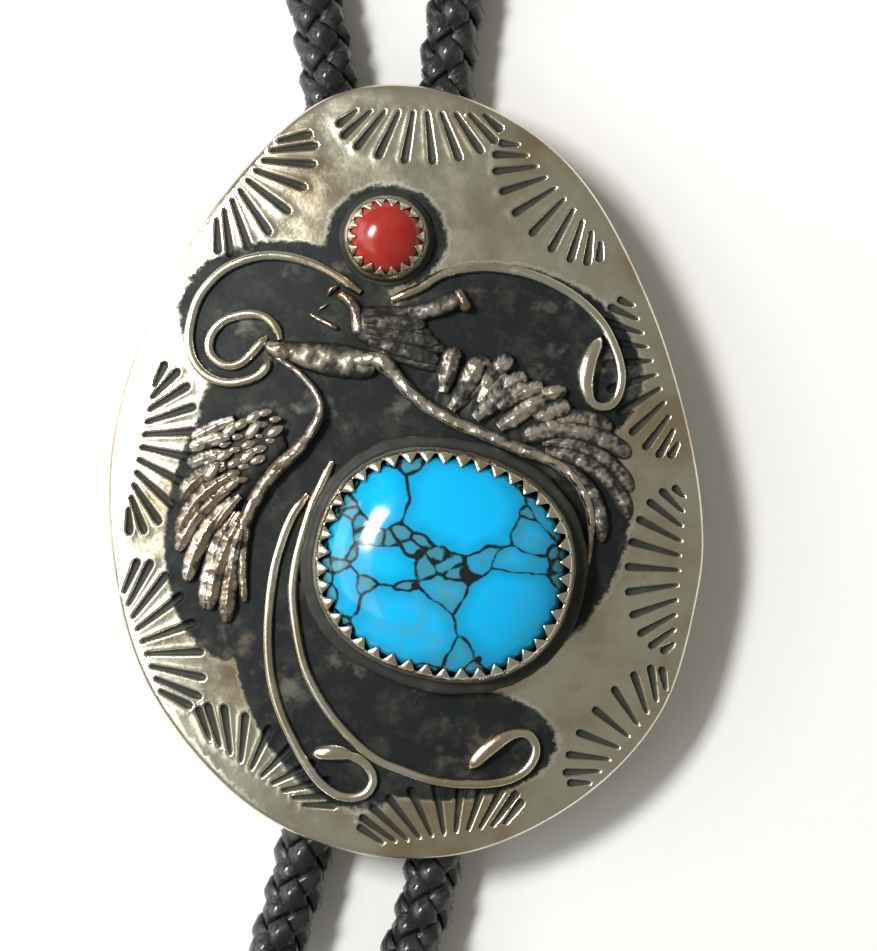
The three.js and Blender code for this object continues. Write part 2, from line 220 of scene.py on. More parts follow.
# The eagle's limbs, as smooth lines with a width and a height at each point.
LIMBS = {
    "neck": ((-10.4, 9.9, 1.5, 0.9), (-7.6, 9.3, 2.4, 1.1), (-5.0, 8.9, 2.8, 1.2), (-2.4, 8.5, 2.2, 1.0)),
    "head": ((-11.4, 10.4, 0.8, 0.7), (-10.4, 9.8, 1.6, 1.2), (-9.2, 9.4, 1.2, 1.1)),
    "rump": ((-4.2, 12.3, 2.4, 0.9), (-2.2, 11.6, 3.6, 1.1), (0.6, 10.9, 3.2, 0.8)),
    "right_arm": (
        (-4.4, 8.9, 1.0, 1.3), (-2.0, 8.9, 1.6, 1.7), (0.2, 6.5, 1.2, 1.6), (3.0, 4.5, 1.2, 1.5),
        (8.0, 2.3, 1.2, 1.4), (12.8, 0.2, 1.1, 1.2), (14.9, -3.2, 0.9, 0.95), (14.7, -7.6, 0.5, 0.5),
    ),
    "left_arm": (
        (-10.7, 9.4, 0.6, 0.9), (-8.3, 7.6, 0.7, 1.1), (-6.9, 5.2, 0.8, 1.35), (-8.2, 2.5, 1.1, 1.45),
        (-11.0, -0.4, 1.3, 1.4), (-12.9, -3.6, 1.3, 1.2), (-13.3, -7.2, 1.0, 1.0),
        (-13.1, -10.6, 0.7, 0.6),
    ),
    "left_leg": ((-5.6, 14.5, 0.8, 0.8), (-4.2, 13.3, 1.1, 1.2), (-3.9, 11.0, 1.1, 1.3)),
    "left_claw": ((-6.4, 14.2, 0.3, 0.4), (-6.0, 14.8, 0.5, 0.6), (-5.4, 15.0, 0.3, 0.4)),
    "far_leg": ((-7.9, 12.8, 0.4, 0.45), (-5.5, 11.5, 0.6, 0.7)),
    "far_claw": ((-7.1, 13.1, 0.25, 0.3), (-6.3, 13.6, 0.25, 0.3)),
    "right_leg": ((0.0, 12.6, 1.6, 0.8), (2.4, 13.2, 1.7, 1.1), (4.3, 14.0, 1.9, 1.3)),
    "right_foot": ((4.1, 14.8, 1.0, 1.4), (5.0, 12.9, 1.1, 1.3)),
    # The two beds are low sheets under the feathers, painted dark as shade between them.
    "wing_bed": ((-10.0, 3.2, 2.6, 0.7), (-12.8, 1.4, 4.6, 0.75), (-14.6, -3.2, 2.6, 0.4)),
    "shoulder_bed": ((2.2, 6.2, 1.6, 0.6), (6.6, 5.2, 4.6, 0.85), (12.6, 2.4, 2.8, 0.5)),
}

# How bright each limb's crests are. The wing and shoulder beds are low sheets painted dark as shade in the
# gaps between the feathers; the rump, neck and right leg are duller, tarnished silver.
SHADED_AND_DULL_LIMBS = {"wing_bed": 0.25, "shoulder_bed": 0.25, "rump": 0.6, "neck": 0.75, "right_leg": 0.7}

# Points along the cord's braid and along its core.
BRAID_STEPS = 1400
CORE_STEPS = 330
# The cord's middle line from the left tail, round the neck, to the right tail.
CORD_RADIUS = 2.5
CORD_LOW = 2.55
CORD_HIGH = 3.5
CORD_IN_TIP = 3.52
ROUTE = (
    (-15.8, -54.0, CORD_IN_TIP), (-13.8, -48.0, CORD_IN_TIP), (-11.8, -42.0, CORD_IN_TIP - 0.1),
    (-9.4, -35.0, CORD_LOW + 0.1), (-7.6, -26.0, 2.9), (-6.9, -15.0, CORD_HIGH),
    (-6.6, 0.0, CORD_HIGH), (-6.4, 15.0, CORD_HIGH), (-6.2, 26.0, 2.9), (-7.0, 36.0, CORD_LOW),
    (-12.0, 56.0, CORD_LOW), (-25.0, 84.0, CORD_LOW), (-45.0, 118.0, CORD_LOW),
    (-68.0, 156.0, CORD_LOW), (-86.0, 197.0, CORD_LOW), (-95.0, 240.0, CORD_LOW),
    (-91.0, 282.0, CORD_LOW), (-73.0, 320.0, CORD_LOW), (-43.0, 347.0, CORD_LOW),
    (-2.0, 357.0, CORD_LOW), (39.0, 347.0, CORD_LOW), (69.0, 320.0, CORD_LOW),
    (87.0, 282.0, CORD_LOW), (91.0, 240.0, CORD_LOW), (82.0, 197.0, CORD_LOW),
    (64.0, 156.0, CORD_LOW), (41.0, 118.0, CORD_LOW), (20.0, 84.0, CORD_LOW),
    (7.6, 56.0, CORD_LOW), (3.7, 36.0, CORD_LOW), (3.1, 26.0, 2.9), (2.9, 15.0, CORD_HIGH),
    (2.9, 0.0, CORD_HIGH), (3.0, -15.0, CORD_HIGH), (2.8, -26.0, 2.9),
    (1.7, -35.0, CORD_LOW + 0.1), (-0.8, -42.0, CORD_IN_TIP - 0.1), (-2.9, -48.0, CORD_IN_TIP),
    (-5.0, -54.0, CORD_IN_TIP),
)

# A tail's tip, in millimetres.
TIP_LENGTH = 38.0
TIP_SOCKET = 12.0
TIP_OUTER = 3.5
TIP_BORE = 2.8
TIP_END = 1.1


# ---------------------------------------------------------------- plain geometry

def dome_height(x, y):
    """Height of the slide's upper face over what the tie lies on."""
    spread = (x / HALF_WIDTH) ** 2 + (y / HALF_LENGTH) ** 2
    return TOP_HEIGHT - DOME * spread ** DOME_POWER


def smooth_step(value):
    """0 below 0, 1 above 1, and an S between."""
    held = np.clip(value, 0.0, 1.0)
    return held * held * (3.0 - 2.0 * held)


def smooth_line(points, per_span, closed=False):
    """Points along a smooth line through given points of any number of columns."""
    base = np.array(points, float)
    if closed:
        ring = np.vstack([base[-1:], base, base[:2]])
    else:
        ring = np.vstack([2 * base[0] - base[1], base, 2 * base[-1] - base[-2]])
    step = np.linspace(0.0, 1.0, per_span, endpoint=False)[:, None]
    spans = []
    for i in range(1, len(ring) - 2):
        p0, p1, p2, p3 = ring[i - 1:i + 3]
        spans.append(0.5 * (
            2 * p1 + (p2 - p0) * step + (2 * p0 - 5 * p1 + 4 * p2 - p3) * step ** 2
            + (3 * p1 - p0 - 3 * p2 + p3) * step ** 3))
    if not closed:
        spans.append(base[-1:])
    return np.vstack(spans)


def even_line(line, count, closed=False):
    """The same line with evenly spaced points."""
    track = np.vstack([line, line[:1]]) if closed else line
    run = np.concatenate([[0.0], np.cumsum(np.linalg.norm(np.diff(track, axis=0), axis=1))])
    stations = np.linspace(0.0, run[-1], count, endpoint=not closed)
    return np.column_stack([np.interp(stations, run, column) for column in track.T])


def outward(line):
    """Unit normals of a closed flat line that runs anticlockwise."""
    ahead = np.roll(line, -1, axis=0) - np.roll(line, 1, axis=0)
    ahead /= np.linalg.norm(ahead, axis=1)[:, None]
    return np.column_stack([ahead[:, 1], -ahead[:, 0]])


def signed_distance(points, outline):
    """Distance from each point to a closed outline, positive inside."""
    start = outline
    end = np.roll(outline, -1, axis=0)
    nearest = np.full(len(points), 1e9)
    inside = np.zeros(len(points), bool)
    for a, b in zip(start, end):
        along = b - a
        share = np.clip(((points - a) @ along) / (along @ along), 0.0, 1.0)
        gap = np.linalg.norm(points - a - share[:, None] * along, axis=1)
        nearest = np.minimum(nearest, gap)
        crosses = (a[1] > points[:, 1]) != (b[1] > points[:, 1])
        at = a[0] + (points[:, 1] - a[1]) * along[0] / (along[1] if along[1] else 1e-9)
        inside ^= crosses & (points[:, 0] < at)
    return np.where(inside, nearest, -nearest)


def oval_reach(points, shape, power=2.0):
    """About how far each point lies outside an oval: negative inside."""
    turn = math.radians(shape.turn)
    dx, dy = points[:, 0] - shape.x, points[:, 1] - shape.y
    u = (dx * math.cos(turn) + dy * math.sin(turn)) / shape.long
    v = (dy * math.cos(turn) - dx * math.sin(turn)) / shape.short
    share = (np.abs(u) ** power + np.abs(v) ** power) ** (1 / power)
    return (share - 1) * (shape.short + shape.long) / 2


def ripple(points, size, seed):
    """Smooth noise from -1 to 1 at each point, with lumps of about the given size."""
    return np.array([noise.noise(Vector((p[0] / size, p[1] / size, seed))) for p in points])


def plain_mesh(name, vertices, edges, faces, attributes=()):
    """A mesh from millimetre points, with its float attributes."""
    mesh = bpy.data.meshes.new(name)
    mesh.from_pydata((np.asarray(vertices, float) * MM).tolist(), edges, faces)
    for label, values in dict(attributes).items():
        layer = mesh.attributes.new(label, "FLOAT", "POINT")
        layer.data.foreach_set("value", np.asarray(values, np.float32))
    return mesh


def closed_mesh(name, vertices, faces, attributes=()):
    """A closed mesh from millimetre points, with its faces pointing out."""
    mesh = plain_mesh(name, vertices, [], faces, attributes)
    shape = bmesh.new()
    shape.from_mesh(mesh)
    bmesh.ops.recalc_face_normals(shape, faces=shape.faces)
    shape.to_mesh(mesh)
    shape.free()
    return mesh


def make_piece(name, vertices, faces, finish, nodes, attributes=()):
    """A finished piece from millimetre points: closed, smooth, riding and standing for its nodes."""
    mesh = closed_mesh(name, vertices, faces, attributes)
    mesh.shade_smooth()
    mesh.materials.append(finish)
    piece = bpy.data.objects.new(name, mesh)
    bpy.context.scene.collection.objects.link(piece)
    return seat(piece, nodes)


def seat(piece, nodes):
    """Tells the frame what a piece rides on and the nodes that it stands for."""
    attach(piece, BODY)
    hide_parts(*nodes)
    return piece


class Heap:
    """Closed shells gathered into one mesh."""

    def __init__(self):
        self.vertices = []
        self.faces = []
        self.crest = []

    def add(self, vertices, faces, crest):
        first = len(self.vertices)
        self.vertices.extend(np.asarray(vertices, float).tolist())
        self.faces.extend([tuple(first + i for i in face) for face in faces])
        self.crest.extend(np.asarray(crest, float).tolist())

    def piece(self, name, finish, slot, nodes):
        return make_piece(
            name, self.vertices, self.faces, finish, nodes, {"crest": self.crest})


def ring_faces(rings, around, closed_ends=True):
    """Quads between rings of points, with a cap on each end."""
    faces = []
    for i in range(rings - 1):
        for j in range(around):
            k = (j + 1) % around
            faces.append((i * around + j, i * around + k, (i + 1) * around + k, (i + 1) * around + j))
    if closed_ends:
        faces.append(tuple(range(around))[::-1])
        faces.append(tuple((rings - 1) * around + j for j in range(around)))
    return faces


# ---------------------------------------------------------------- node trees

def add(tree, kind, inputs=(), **settings):
    """A node with its settings, and each given input linked or set."""
    node = tree.nodes.new(kind)
    for key, value in settings.items():
        setattr(node, key, value)
    for key, value in dict(inputs).items():
        if isinstance(value, bpy.types.NodeSocket):
            tree.links.new(value, node.inputs[key])
        else:
            node.inputs[key].default_value = value
    return node


def calc(tree, operation, *values):
    """A math node's result."""
    return add(tree, "ShaderNodeMath", enumerate(values), operation=operation).outputs[0]


def vector_calc(tree, operation, *values):
    """A vector math node's result."""
    return add(tree, "ShaderNodeVectorMath", enumerate(values), operation=operation).outputs[0]


def scaled(tree, vector, factor):
    """A vector times a number."""
    node = add(tree, "ShaderNodeVectorMath", {0: vector, "Scale": factor}, operation="SCALE")
    return node.outputs[0]


def geometry_tree(name, inputs):
    """A geometry tree with named inputs, with its input sockets and its result socket."""
    tree = bpy.data.node_groups.new(name, "GeometryNodeTree")
    tree.is_modifier = True
    tree.interface.new_socket(name="Geometry", in_out="INPUT", socket_type="NodeSocketGeometry")
    for label, kind in inputs:
        tree.interface.new_socket(name=label, in_out="INPUT", socket_type="NodeSocket" + kind)
    tree.interface.new_socket(name="Geometry", in_out="OUTPUT", socket_type="NodeSocketGeometry")
    given = tree.nodes.new("NodeGroupInput").outputs
    result = tree.nodes.new("NodeGroupOutput").inputs[0]
    return tree, given, result


def finish_tree(tree, geometry, material, result):
    """Ends a tree: real instances, smooth shading and the material."""
    real = add(tree, "GeometryNodeRealizeInstances", {"Geometry": geometry})
    smooth = add(tree, "GeometryNodeSetShadeSmooth", {"Geometry": real.outputs[0]})
    painted = add(tree, "GeometryNodeSetMaterial", {
        "Geometry": smooth.outputs[0], "Material": material})
    tree.links.new(painted.outputs[0], result)


def grown(name, points, edges, tree, values, nodes, attributes=()):
    """A plain mesh piece made by a geometry tree from a few points."""
    piece = bpy.data.objects.new(name, plain_mesh(name + "_points", points, edges, [], attributes))
    bpy.context.scene.collection.objects.link(piece)
    modifier = piece.modifiers.new("Make", "NODES")
    modifier.node_group = tree
    sockets = {s.name: s.identifier for s in tree.interface.items_tree if s.in_out == "INPUT"}
    for label, value in values.items():
        modifier[sockets[label]] = value
    bpy.context.view_layer.update()
    seen = piece.evaluated_get(bpy.context.evaluated_depsgraph_get())
    made = bpy.data.meshes.new_from_object(seen)
    if not made.polygons:
        raise RuntimeError(f"{name}: its geometry tree made no faces")
    piece.modifiers.remove(modifier)
    piece.data = made
    made.name = name
    return seat(piece, nodes)


def chain(count):
    """Edges that join points one after another."""
    return [(i, i + 1) for i in range(count - 1)]


def named(tree, label):
    """A float attribute of the points."""
    return add(tree, "GeometryNodeInputNamedAttribute", {"Name": label}).outputs[0]


def swept_line_tree():
    """Sweeps a round section along a line of points whose width is an attribute."""
    tree, given, result = geometry_tree("Swept wire", (
        ("Sides", "Int"), ("Flatness", "Float"), ("Material", "Material")))
    line = add(tree, "GeometryNodeMeshToCurve", {"Mesh": given["Geometry"]})
    upright = add(tree, "GeometryNodeSetCurveNormal", {"Curve": line.outputs[0]}, mode="Z_UP")
    circle = add(tree, "GeometryNodeCurvePrimitiveCircle", {"Resolution": given["Sides"], "Radius": 1.0})
    squash = add(tree, "ShaderNodeCombineXYZ", {"X": 1.0, "Y": given["Flatness"], "Z": 1.0})
    section = add(tree, "GeometryNodeTransform", {
        "Geometry": circle.outputs[0], "Scale": squash.outputs[0]})
    swept = add(tree, "GeometryNodeCurveToMesh", {
        "Curve": upright.outputs[0], "Profile Curve": section.outputs[0],
        "Scale": named(tree, "width"), "Fill Caps": True})
    finish_tree(tree, swept.outputs[0], given["Material"], result)
    return tree


def set_round_tree():
    """Sets a small shape on every point, tipped, leant, turned and sized by the point's attributes."""
    tree, given, result = geometry_tree("Set round", (
        ("Shape", "Object"), ("Material", "Material")))
    shape = add(tree, "GeometryNodeObjectInfo", {"Object": given["Shape"]})
    turn = add(tree, "ShaderNodeCombineXYZ", {
        "X": named(tree, "tip"), "Y": named(tree, "lean"), "Z": named(tree, "turn")})
    turned = add(tree, "FunctionNodeEulerToRotation", {0: turn.outputs[0]})
    size = add(tree, "ShaderNodeCombineXYZ", {
        "X": named(tree, "size"), "Y": named(tree, "size"), "Z": named(tree, "size")})
    stood = add(tree, "GeometryNodeInstanceOnPoints", {
        "Points": given["Geometry"], "Instance": shape.outputs["Geometry"],
        "Rotation": turned.outputs[0], "Scale": size.outputs[0]})
    finish_tree(tree, stood.outputs[0], given["Material"], result)
    return tree


def braid_tree():
    """Braids flat strands, half of them each way round, over a plain core along a line."""
    tree, given, result = geometry_tree("Round braid", (
        ("Radius", "Float"), ("Weave Depth", "Float"), ("Turn Length", "Float"),
        ("Strand Width", "Float"), ("Strand Thickness", "Float"), ("Core Radius", "Float"),
        ("Strands Each Way", "Int"), ("Steps", "Int"), ("Core Steps", "Int"),
        ("Material", "Material")))
    line = add(tree, "GeometryNodeMeshToCurve", {"Mesh": given["Geometry"]})
    spline = add(tree, "GeometryNodeCurveSplineType", {"Curve": line.outputs[0]}, spline_type="CATMULL_ROM")
    even = add(tree, "GeometryNodeResampleCurve", {"Curve": spline.outputs[0], "Count": given["Steps"]})
    kept = tree.nodes.new("GeometryNodeCaptureAttribute")
    for kind, label in (("VECTOR", "Ahead"), ("FLOAT", "Run")):
        kept.capture_items.new(kind, label)
    tree.links.new(even.outputs[0], kept.inputs["Geometry"])
    tree.links.new(add(tree, "GeometryNodeInputTangent").outputs[0], kept.inputs["Ahead"])
    tree.links.new(add(tree, "GeometryNodeSplineParameter").outputs["Length"], kept.inputs["Run"])
    both_ways = calc(tree, "MULTIPLY", given["Strands Each Way"], 2.0)
    copies = add(tree, "GeometryNodeDuplicateElements", {
        "Geometry": kept.outputs["Geometry"], "Amount": both_ways}, domain="SPLINE")
    strand = copies.outputs["Duplicate Index"]
    each_way = given["Strands Each Way"]
    second = calc(tree, "FLOOR", calc(tree, "DIVIDE", strand, each_way))
    way = calc(tree, "SUBTRACT", 1.0, calc(tree, "MULTIPLY", second, 2.0))
    phase = calc(tree, "DIVIDE", calc(tree, "MULTIPLY", kept.outputs["Run"], math.tau), given["Turn Length"])
    share = calc(tree, "DIVIDE", calc(tree, "MULTIPLY", strand, math.tau), each_way)
    angle = calc(tree, "ADD", calc(tree, "MULTIPLY", phase, way), share)
    weave = calc(tree, "COSINE", calc(tree, "MULTIPLY", phase, each_way))
    depth = calc(tree, "MULTIPLY", calc(tree, "MULTIPLY", weave, way), given["Weave Depth"])
    reach = calc(tree, "ADD", given["Radius"], depth)
    ahead = kept.outputs["Ahead"]
    side = vector_calc(tree, "NORMALIZE", vector_calc(tree, "CROSS_PRODUCT", ahead, (0.0, 0.0, 1.0)))
    up = vector_calc(tree, "CROSS_PRODUCT", side, ahead)
    spoke = vector_calc(
        tree, "ADD", scaled(tree, side, calc(tree, "COSINE", angle)),
        scaled(tree, up, calc(tree, "SINE", angle)))
    moved = add(tree, "GeometryNodeSetPosition", {
        "Geometry": copies.outputs["Geometry"], "Offset": scaled(tree, spoke, reach)})
    facing = add(tree, "GeometryNodeSetCurveNormal", {
        "Curve": moved.outputs[0], "Normal": spoke}, mode="FREE")
    along = add(tree, "GeometryNodeStoreNamedAttribute", {
        "Geometry": facing.outputs[0], "Name": "along",
        "Value": calc(tree, "ADD", kept.outputs["Run"], calc(tree, "MULTIPLY", strand, 0.37))},
        data_type="FLOAT", domain="POINT")
    circle = add(tree, "GeometryNodeCurvePrimitiveCircle", {"Resolution": 8, "Radius": 0.5})
    flat = add(tree, "ShaderNodeCombineXYZ", {
        "X": given["Strand Thickness"], "Y": given["Strand Width"], "Z": 1.0})
    section = add(tree, "GeometryNodeTransform", {"Geometry": circle.outputs[0], "Scale": flat.outputs[0]})
    around = add(tree, "GeometryNodeStoreNamedAttribute", {
        "Geometry": section.outputs[0], "Name": "around",
        "Value": add(tree, "GeometryNodeSplineParameter").outputs["Factor"]},
        data_type="FLOAT", domain="POINT")
    strands = add(tree, "GeometryNodeCurveToMesh", {
        "Curve": along.outputs[0], "Profile Curve": around.outputs[0], "Fill Caps": True})
    core_line = add(tree, "GeometryNodeResampleCurve", {
        "Curve": spline.outputs[0], "Count": given["Core Steps"]})
    core_circle = add(tree, "GeometryNodeCurvePrimitiveCircle", {
        "Resolution": 8, "Radius": given["Core Radius"]})
    core = add(tree, "GeometryNodeCurveToMesh", {
        "Curve": core_line.outputs[0], "Profile Curve": core_circle.outputs[0], "Fill Caps": True})
    joined = tree.nodes.new("GeometryNodeJoinGeometry")
    tree.links.new(core.outputs[0], joined.inputs[0])
    tree.links.new(strands.outputs[0], joined.inputs[0])
    finish_tree(tree, joined.outputs[0], given["Material"], result)
    return tree


# ---------------------------------------------------------------- materials

def new_material(name):
    """An empty material, its tree and its Principled shader."""
    material = bpy.data.materials.new(name)
    material.use_nodes = True
    return material, material.node_tree, material.node_tree.nodes["Principled BSDF"]


def grain(tree, place, size, detail=4.0, rough=0.55, stretch=(1.0, 1.0, 1.0)):
    """Noise with lumps of a size in millimetres."""
    laid = vector_calc(tree, "MULTIPLY", place, stretch) if stretch != (1.0, 1.0, 1.0) else place
    node = add(tree, "ShaderNodeTexNoise", {
        "Vector": laid, "Scale": 1.0 / (size * MM), "Detail": detail, "Roughness": rough})
    return node.outputs["Fac"]


def uneven(tree, place, size, detail, rough, reach, middle=0.5):
    """Noise less its middle, times a reach."""
    centred = calc(tree, "SUBTRACT", grain(tree, place, size, detail, rough), middle)
    return calc(tree, "MULTIPLY", centred, reach)


def span(tree, value, low, high, to_low=0.0, to_high=1.0):
    """A value taken smoothly from one range to another."""
    node = add(tree, "ShaderNodeMapRange", {
        "Value": value, "From Min": low, "From Max": high, "To Min": to_low, "To Max": to_high},
        interpolation_type="SMOOTHSTEP")
    return node.outputs[0]


def opaque(colour):
    """A colour with full alpha."""
    return (*tuple(colour)[:3], 1.0)


def blend_colour(tree, factor, first, second):
    """One colour, or a socket's result, blended towards another."""
    is_socket = [isinstance(tone, bpy.types.NodeSocket) for tone in (first, second)]
    first = first if is_socket[0] else opaque(first)
    second = second if is_socket[1] else opaque(second)
    return add(tree, "ShaderNodeMix", {0: factor, 6: first, 7: second}, data_type="RGBA").outputs[2]


def attribute(tree, label):
    """A float attribute of the mesh."""
    return add(tree, "ShaderNodeAttribute", attribute_name=label).outputs["Fac"]


def bumped(tree, height, depth, under=None):
    """A bump of a depth in millimetres, over another if one is given."""
    inputs = {"Height": height, "Distance": depth * MM, "Strength": 1.0}
    if under is not None:
        inputs["Normal"] = under
    return add(tree, "ShaderNodeBump", inputs).outputs[0]


def object_place(tree):
    """Object coordinates."""
    return add(tree, "ShaderNodeTexCoord").outputs["Object"]


def silver_surface(tree, shader, place, dark, look, clean, warm_tone):
    """Silver with tarnish, scratches and a given amount of oxide."""
    cloud = grain(tree, place, 9.0, 5.0, 0.6)
    stain = grain(tree, place, 2.6, 6.0, 0.65)
    warm = blend_colour(tree, span(tree, cloud, 0.42, 0.66), clean, warm_tone)
    stained = blend_colour(tree, span(tree, stain, 0.56, 0.74, 0.0, 0.4), warm, look.stain)
    olive = span(tree, grain(tree, place, 2.2, 6.0, 0.7), 0.46, 0.68)
    sooty = blend_colour(tree, olive, look.oxide, look.oxide_pale)
    shown = blend_colour(tree, dark, stained, sooty)
    tree.links.new(shown, shader.inputs["Base Color"])
    polish = calc(tree, "ADD", span(tree, stain, 0.3, 0.75, look.roughness - 0.04, look.roughness + 0.1),
                  calc(tree, "MULTIPLY", dark, 0.3))
    tree.links.new(span(tree, dark, 0.0, 1.0, 0.5, 0.22), shader.inputs["Specular IOR Level"])
    tree.links.new(polish, shader.inputs["Roughness"])
    shine = calc(tree, "SUBTRACT", 1.0, calc(tree, "MULTIPLY", dark, 0.9))
    tree.links.new(shine, shader.inputs["Metallic"])
    fine = grain(tree, place, 0.35, 3.0, 0.6)
    streaks = grain(tree, place, 0.25, 2.0, 0.5, (0.12, 1.0, 1.0))
    worn = bumped(tree, streaks, 0.006)
    pitted = bumped(tree, fine, 0.012, worn)
    tree.links.new(pitted, shader.inputs["Normal"])


def face_silver(look):
    """The slide's face: oxide in its field and in the stamped strokes."""
    material, tree, shader = new_material("aged_silver_face")
    place = object_place(tree)
    edge = calc(tree, "ADD", attribute(tree, "field"), uneven(tree, place, 0.8, 6.0, 0.75, 1.5))
    field = span(tree, edge, -0.3, 0.35)
    rubbed = span(tree, grain(tree, place, 3.2, 4.0, 0.6), 0.55, 0.75, 1.0, 0.84)
    stroke = span(tree, attribute(tree, "groove"), 0.15, 0.8, 0.0, 0.96)
    dark = calc(tree, "MAXIMUM", calc(tree, "MULTIPLY", field, rubbed), stroke)
    silver_surface(tree, shader, place, dark, look, look.silver, look.tarnish)
    return material


def relief_silver(look):
    """Raised silver: rubbed bright on its crests, dark in its hollows."""
    material, tree, shader = new_material("aged_silver_relief")
    place = object_place(tree)
    patchy = uneven(tree, place, 0.9, 5.0, 0.6, 0.5)
    height = calc(tree, "ADD", attribute(tree, "crest"), patchy)
    dark = span(tree, height, 0.42, 1.02, 0.97, 0.0)
    silver_surface(tree, shader, place, dark, look, look.cast, look.cast_shade)
    return material


def wire_silver(look):
    """Bright drawn wire with patches of oxide."""
    material, tree, shader = new_material("aged_silver_wire")
    place = object_place(tree)
    patches = grain(tree, place, 1.4, 5.0, 0.6)
    dark = span(tree, patches, 0.55, 0.8, 0.0, 0.5)
    silver_surface(tree, shader, place, dark, look, look.silver, look.tarnish)
    return material


def collar_silver(look):
    """The bezel: dull dark collar below, rubbed wall above."""
    material, tree, shader = new_material("aged_silver_bezel")
    place = object_place(tree)
    patchy = uneven(tree, place, 1.1, 5.0, 0.6, 0.8)
    rubbed = calc(tree, "ADD", attribute(tree, "crest"), patchy)
    dark = span(tree, rubbed, 0.3, 0.8, 0.97, 0.05)
    silver_surface(tree, shader, place, dark, look, look.silver, look.tarnish)
    return material


def turquoise_stone(look):
    """Polished turquoise: blue patches in a black web."""
    material, tree, shader = new_material("turquoise_stone")
    place = object_place(tree)
    wander = uneven(tree, place, 1.0, 6.0, 0.7, 0.42, 0.52)
    seam = calc(tree, "ADD", attribute(tree, "seam"), wander)
    inside = span(tree, seam, 0.03, 0.17)
    mottle = grain(tree, place, 1.7, 5.0, 0.6)
    blue = calc(tree, "ADD", attribute(tree, "blue"), span(tree, mottle, 0.3, 0.7, -0.16, 0.16))
    body = blend_colour(tree, span(tree, blue, 0.1, 0.95), look.turquoise_dull, look.turquoise)
    rim = span(tree, seam, 0.1, 1.4, 0.5, 0.0)
    toned = blend_colour(tree, rim, body, look.turquoise_deep)
    shown = blend_colour(tree, inside, look.web, toned)
    tree.links.new(shown, shader.inputs["Base Color"])
    tree.links.new(span(tree, mottle, 0.3, 0.7, 0.09, 0.16), shader.inputs["Roughness"])
    tree.links.new(bumped(tree, inside, 0.002), shader.inputs["Normal"])
    return material


def coral_stone(look):
    """Polished coral with faint growth lines."""
    material, tree, shader = new_material("coral_stone")
    place = object_place(tree)
    lines = grain(tree, place, 0.5, 4.0, 0.6, (1.0, 0.35, 1.0))
    cloud = grain(tree, place, 1.6, 4.0, 0.6)
    body = blend_colour(tree, span(tree, cloud, 0.35, 0.7), look.coral, look.coral_deep)
    shown = blend_colour(tree, span(tree, lines, 0.58, 0.75, 0.0, 0.45), body, look.coral_deep)
    tree.links.new(shown, shader.inputs["Base Color"])
    tree.links.new(span(tree, cloud, 0.3, 0.7, 0.13, 0.24), shader.inputs["Roughness"])
    tree.links.new(bumped(tree, lines, 0.006), shader.inputs["Normal"])
    return material


def waxed_leather(look):
    """Waxed black leather strands with fibres along them."""
    material, tree, shader = new_material("waxed_black_leather")
    place = object_place(tree)
    thread = add(tree, "ShaderNodeCombineXYZ", {
        "X": attribute(tree, "along"),
        "Y": calc(tree, "MULTIPLY", attribute(tree, "around"), 0.012), "Z": 0.0}).outputs[0]
    fibres = grain(tree, thread, 0.16, 3.0, 0.6, (0.09, 1.0, 1.0))
    wax = grain(tree, place, 1.1, 5.0, 0.65)
    body = blend_colour(tree, span(tree, fibres, 0.35, 0.7), look.leather, look.leather_worn)
    dusty = blend_colour(tree, span(tree, wax, 0.55, 0.8, 0.0, 0.5), body, look.leather_dust)
    tree.links.new(dusty, shader.inputs["Base Color"])
    tree.links.new(span(tree, wax, 0.3, 0.75, 0.22, 0.42), shader.inputs["Roughness"])
    shader.inputs["Coat Weight"].default_value = 0.5
    shader.inputs["Coat Roughness"].default_value = 0.12
    creased = bumped(tree, wax, 0.05)
    tree.links.new(bumped(tree, fibres, 0.07, creased), shader.inputs["Normal"])
    return material


def plain_metal(name, look):
    """Plated plain metal with fine drawn scratches and dull patches."""
    material, tree, shader = new_material(name)
    place = object_place(tree)
    cloud = grain(tree, place, 4.0, 5.0, 0.6)
    drawn = grain(tree, place, 0.2, 3.0, 0.5, (1.0, 0.2, 1.0))
    body = blend_colour(tree, span(tree, cloud, 0.45, 0.75, 0.0, 0.7), look.plate_metal, look.tarnish)
    tree.links.new(body, shader.inputs["Base Color"])
    tree.links.new(span(tree, cloud, 0.3, 0.7, 0.2, 0.38), shader.inputs["Roughness"])
    shader.inputs["Metallic"].default_value = 1.0
    tree.links.new(bumped(tree, drawn, 0.01), shader.inputs["Normal"])
    return material


def paper_floor(look):
    """Pale paper with the faintest tooth."""
    material, tree, shader = new_material("pale_floor")
    place = object_place(tree)
    tooth = grain(tree, place, 1.5, 4.0, 0.6)
    shown = blend_colour(tree, span(tree, tooth, 0.3, 0.7), look.floor, look.floor_shade)
    tree.links.new(shown, shader.inputs["Base Color"])
    shader.inputs["Roughness"].default_value = 0.9
    shader.inputs["Specular IOR Level"].default_value = 0.1
    return material


# ---------------------------------------------------------------- pieces

def stroke_ends(fan):
    """The outer end and the tip of each of a fan's strokes."""
    facing = math.radians(fan.facing)
    ahead = np.array([math.cos(facing), math.sin(facing)])
    side = np.array([-ahead[1], ahead[0]])
    middle = np.array([fan.x, fan.y])
    ends = []
    for i in range(fan.strokes):
        share = i / (fan.strokes - 1)
        swing = math.pi * share
        outer = middle + side * fan.half_side * (1 - 2 * share)
        reach = fan.near + (fan.far - fan.near) * math.sin(swing)
        tip = middle + ahead * reach + side * fan.half_spread * math.cos(swing)
        ends.append((outer, tip))
    return ends


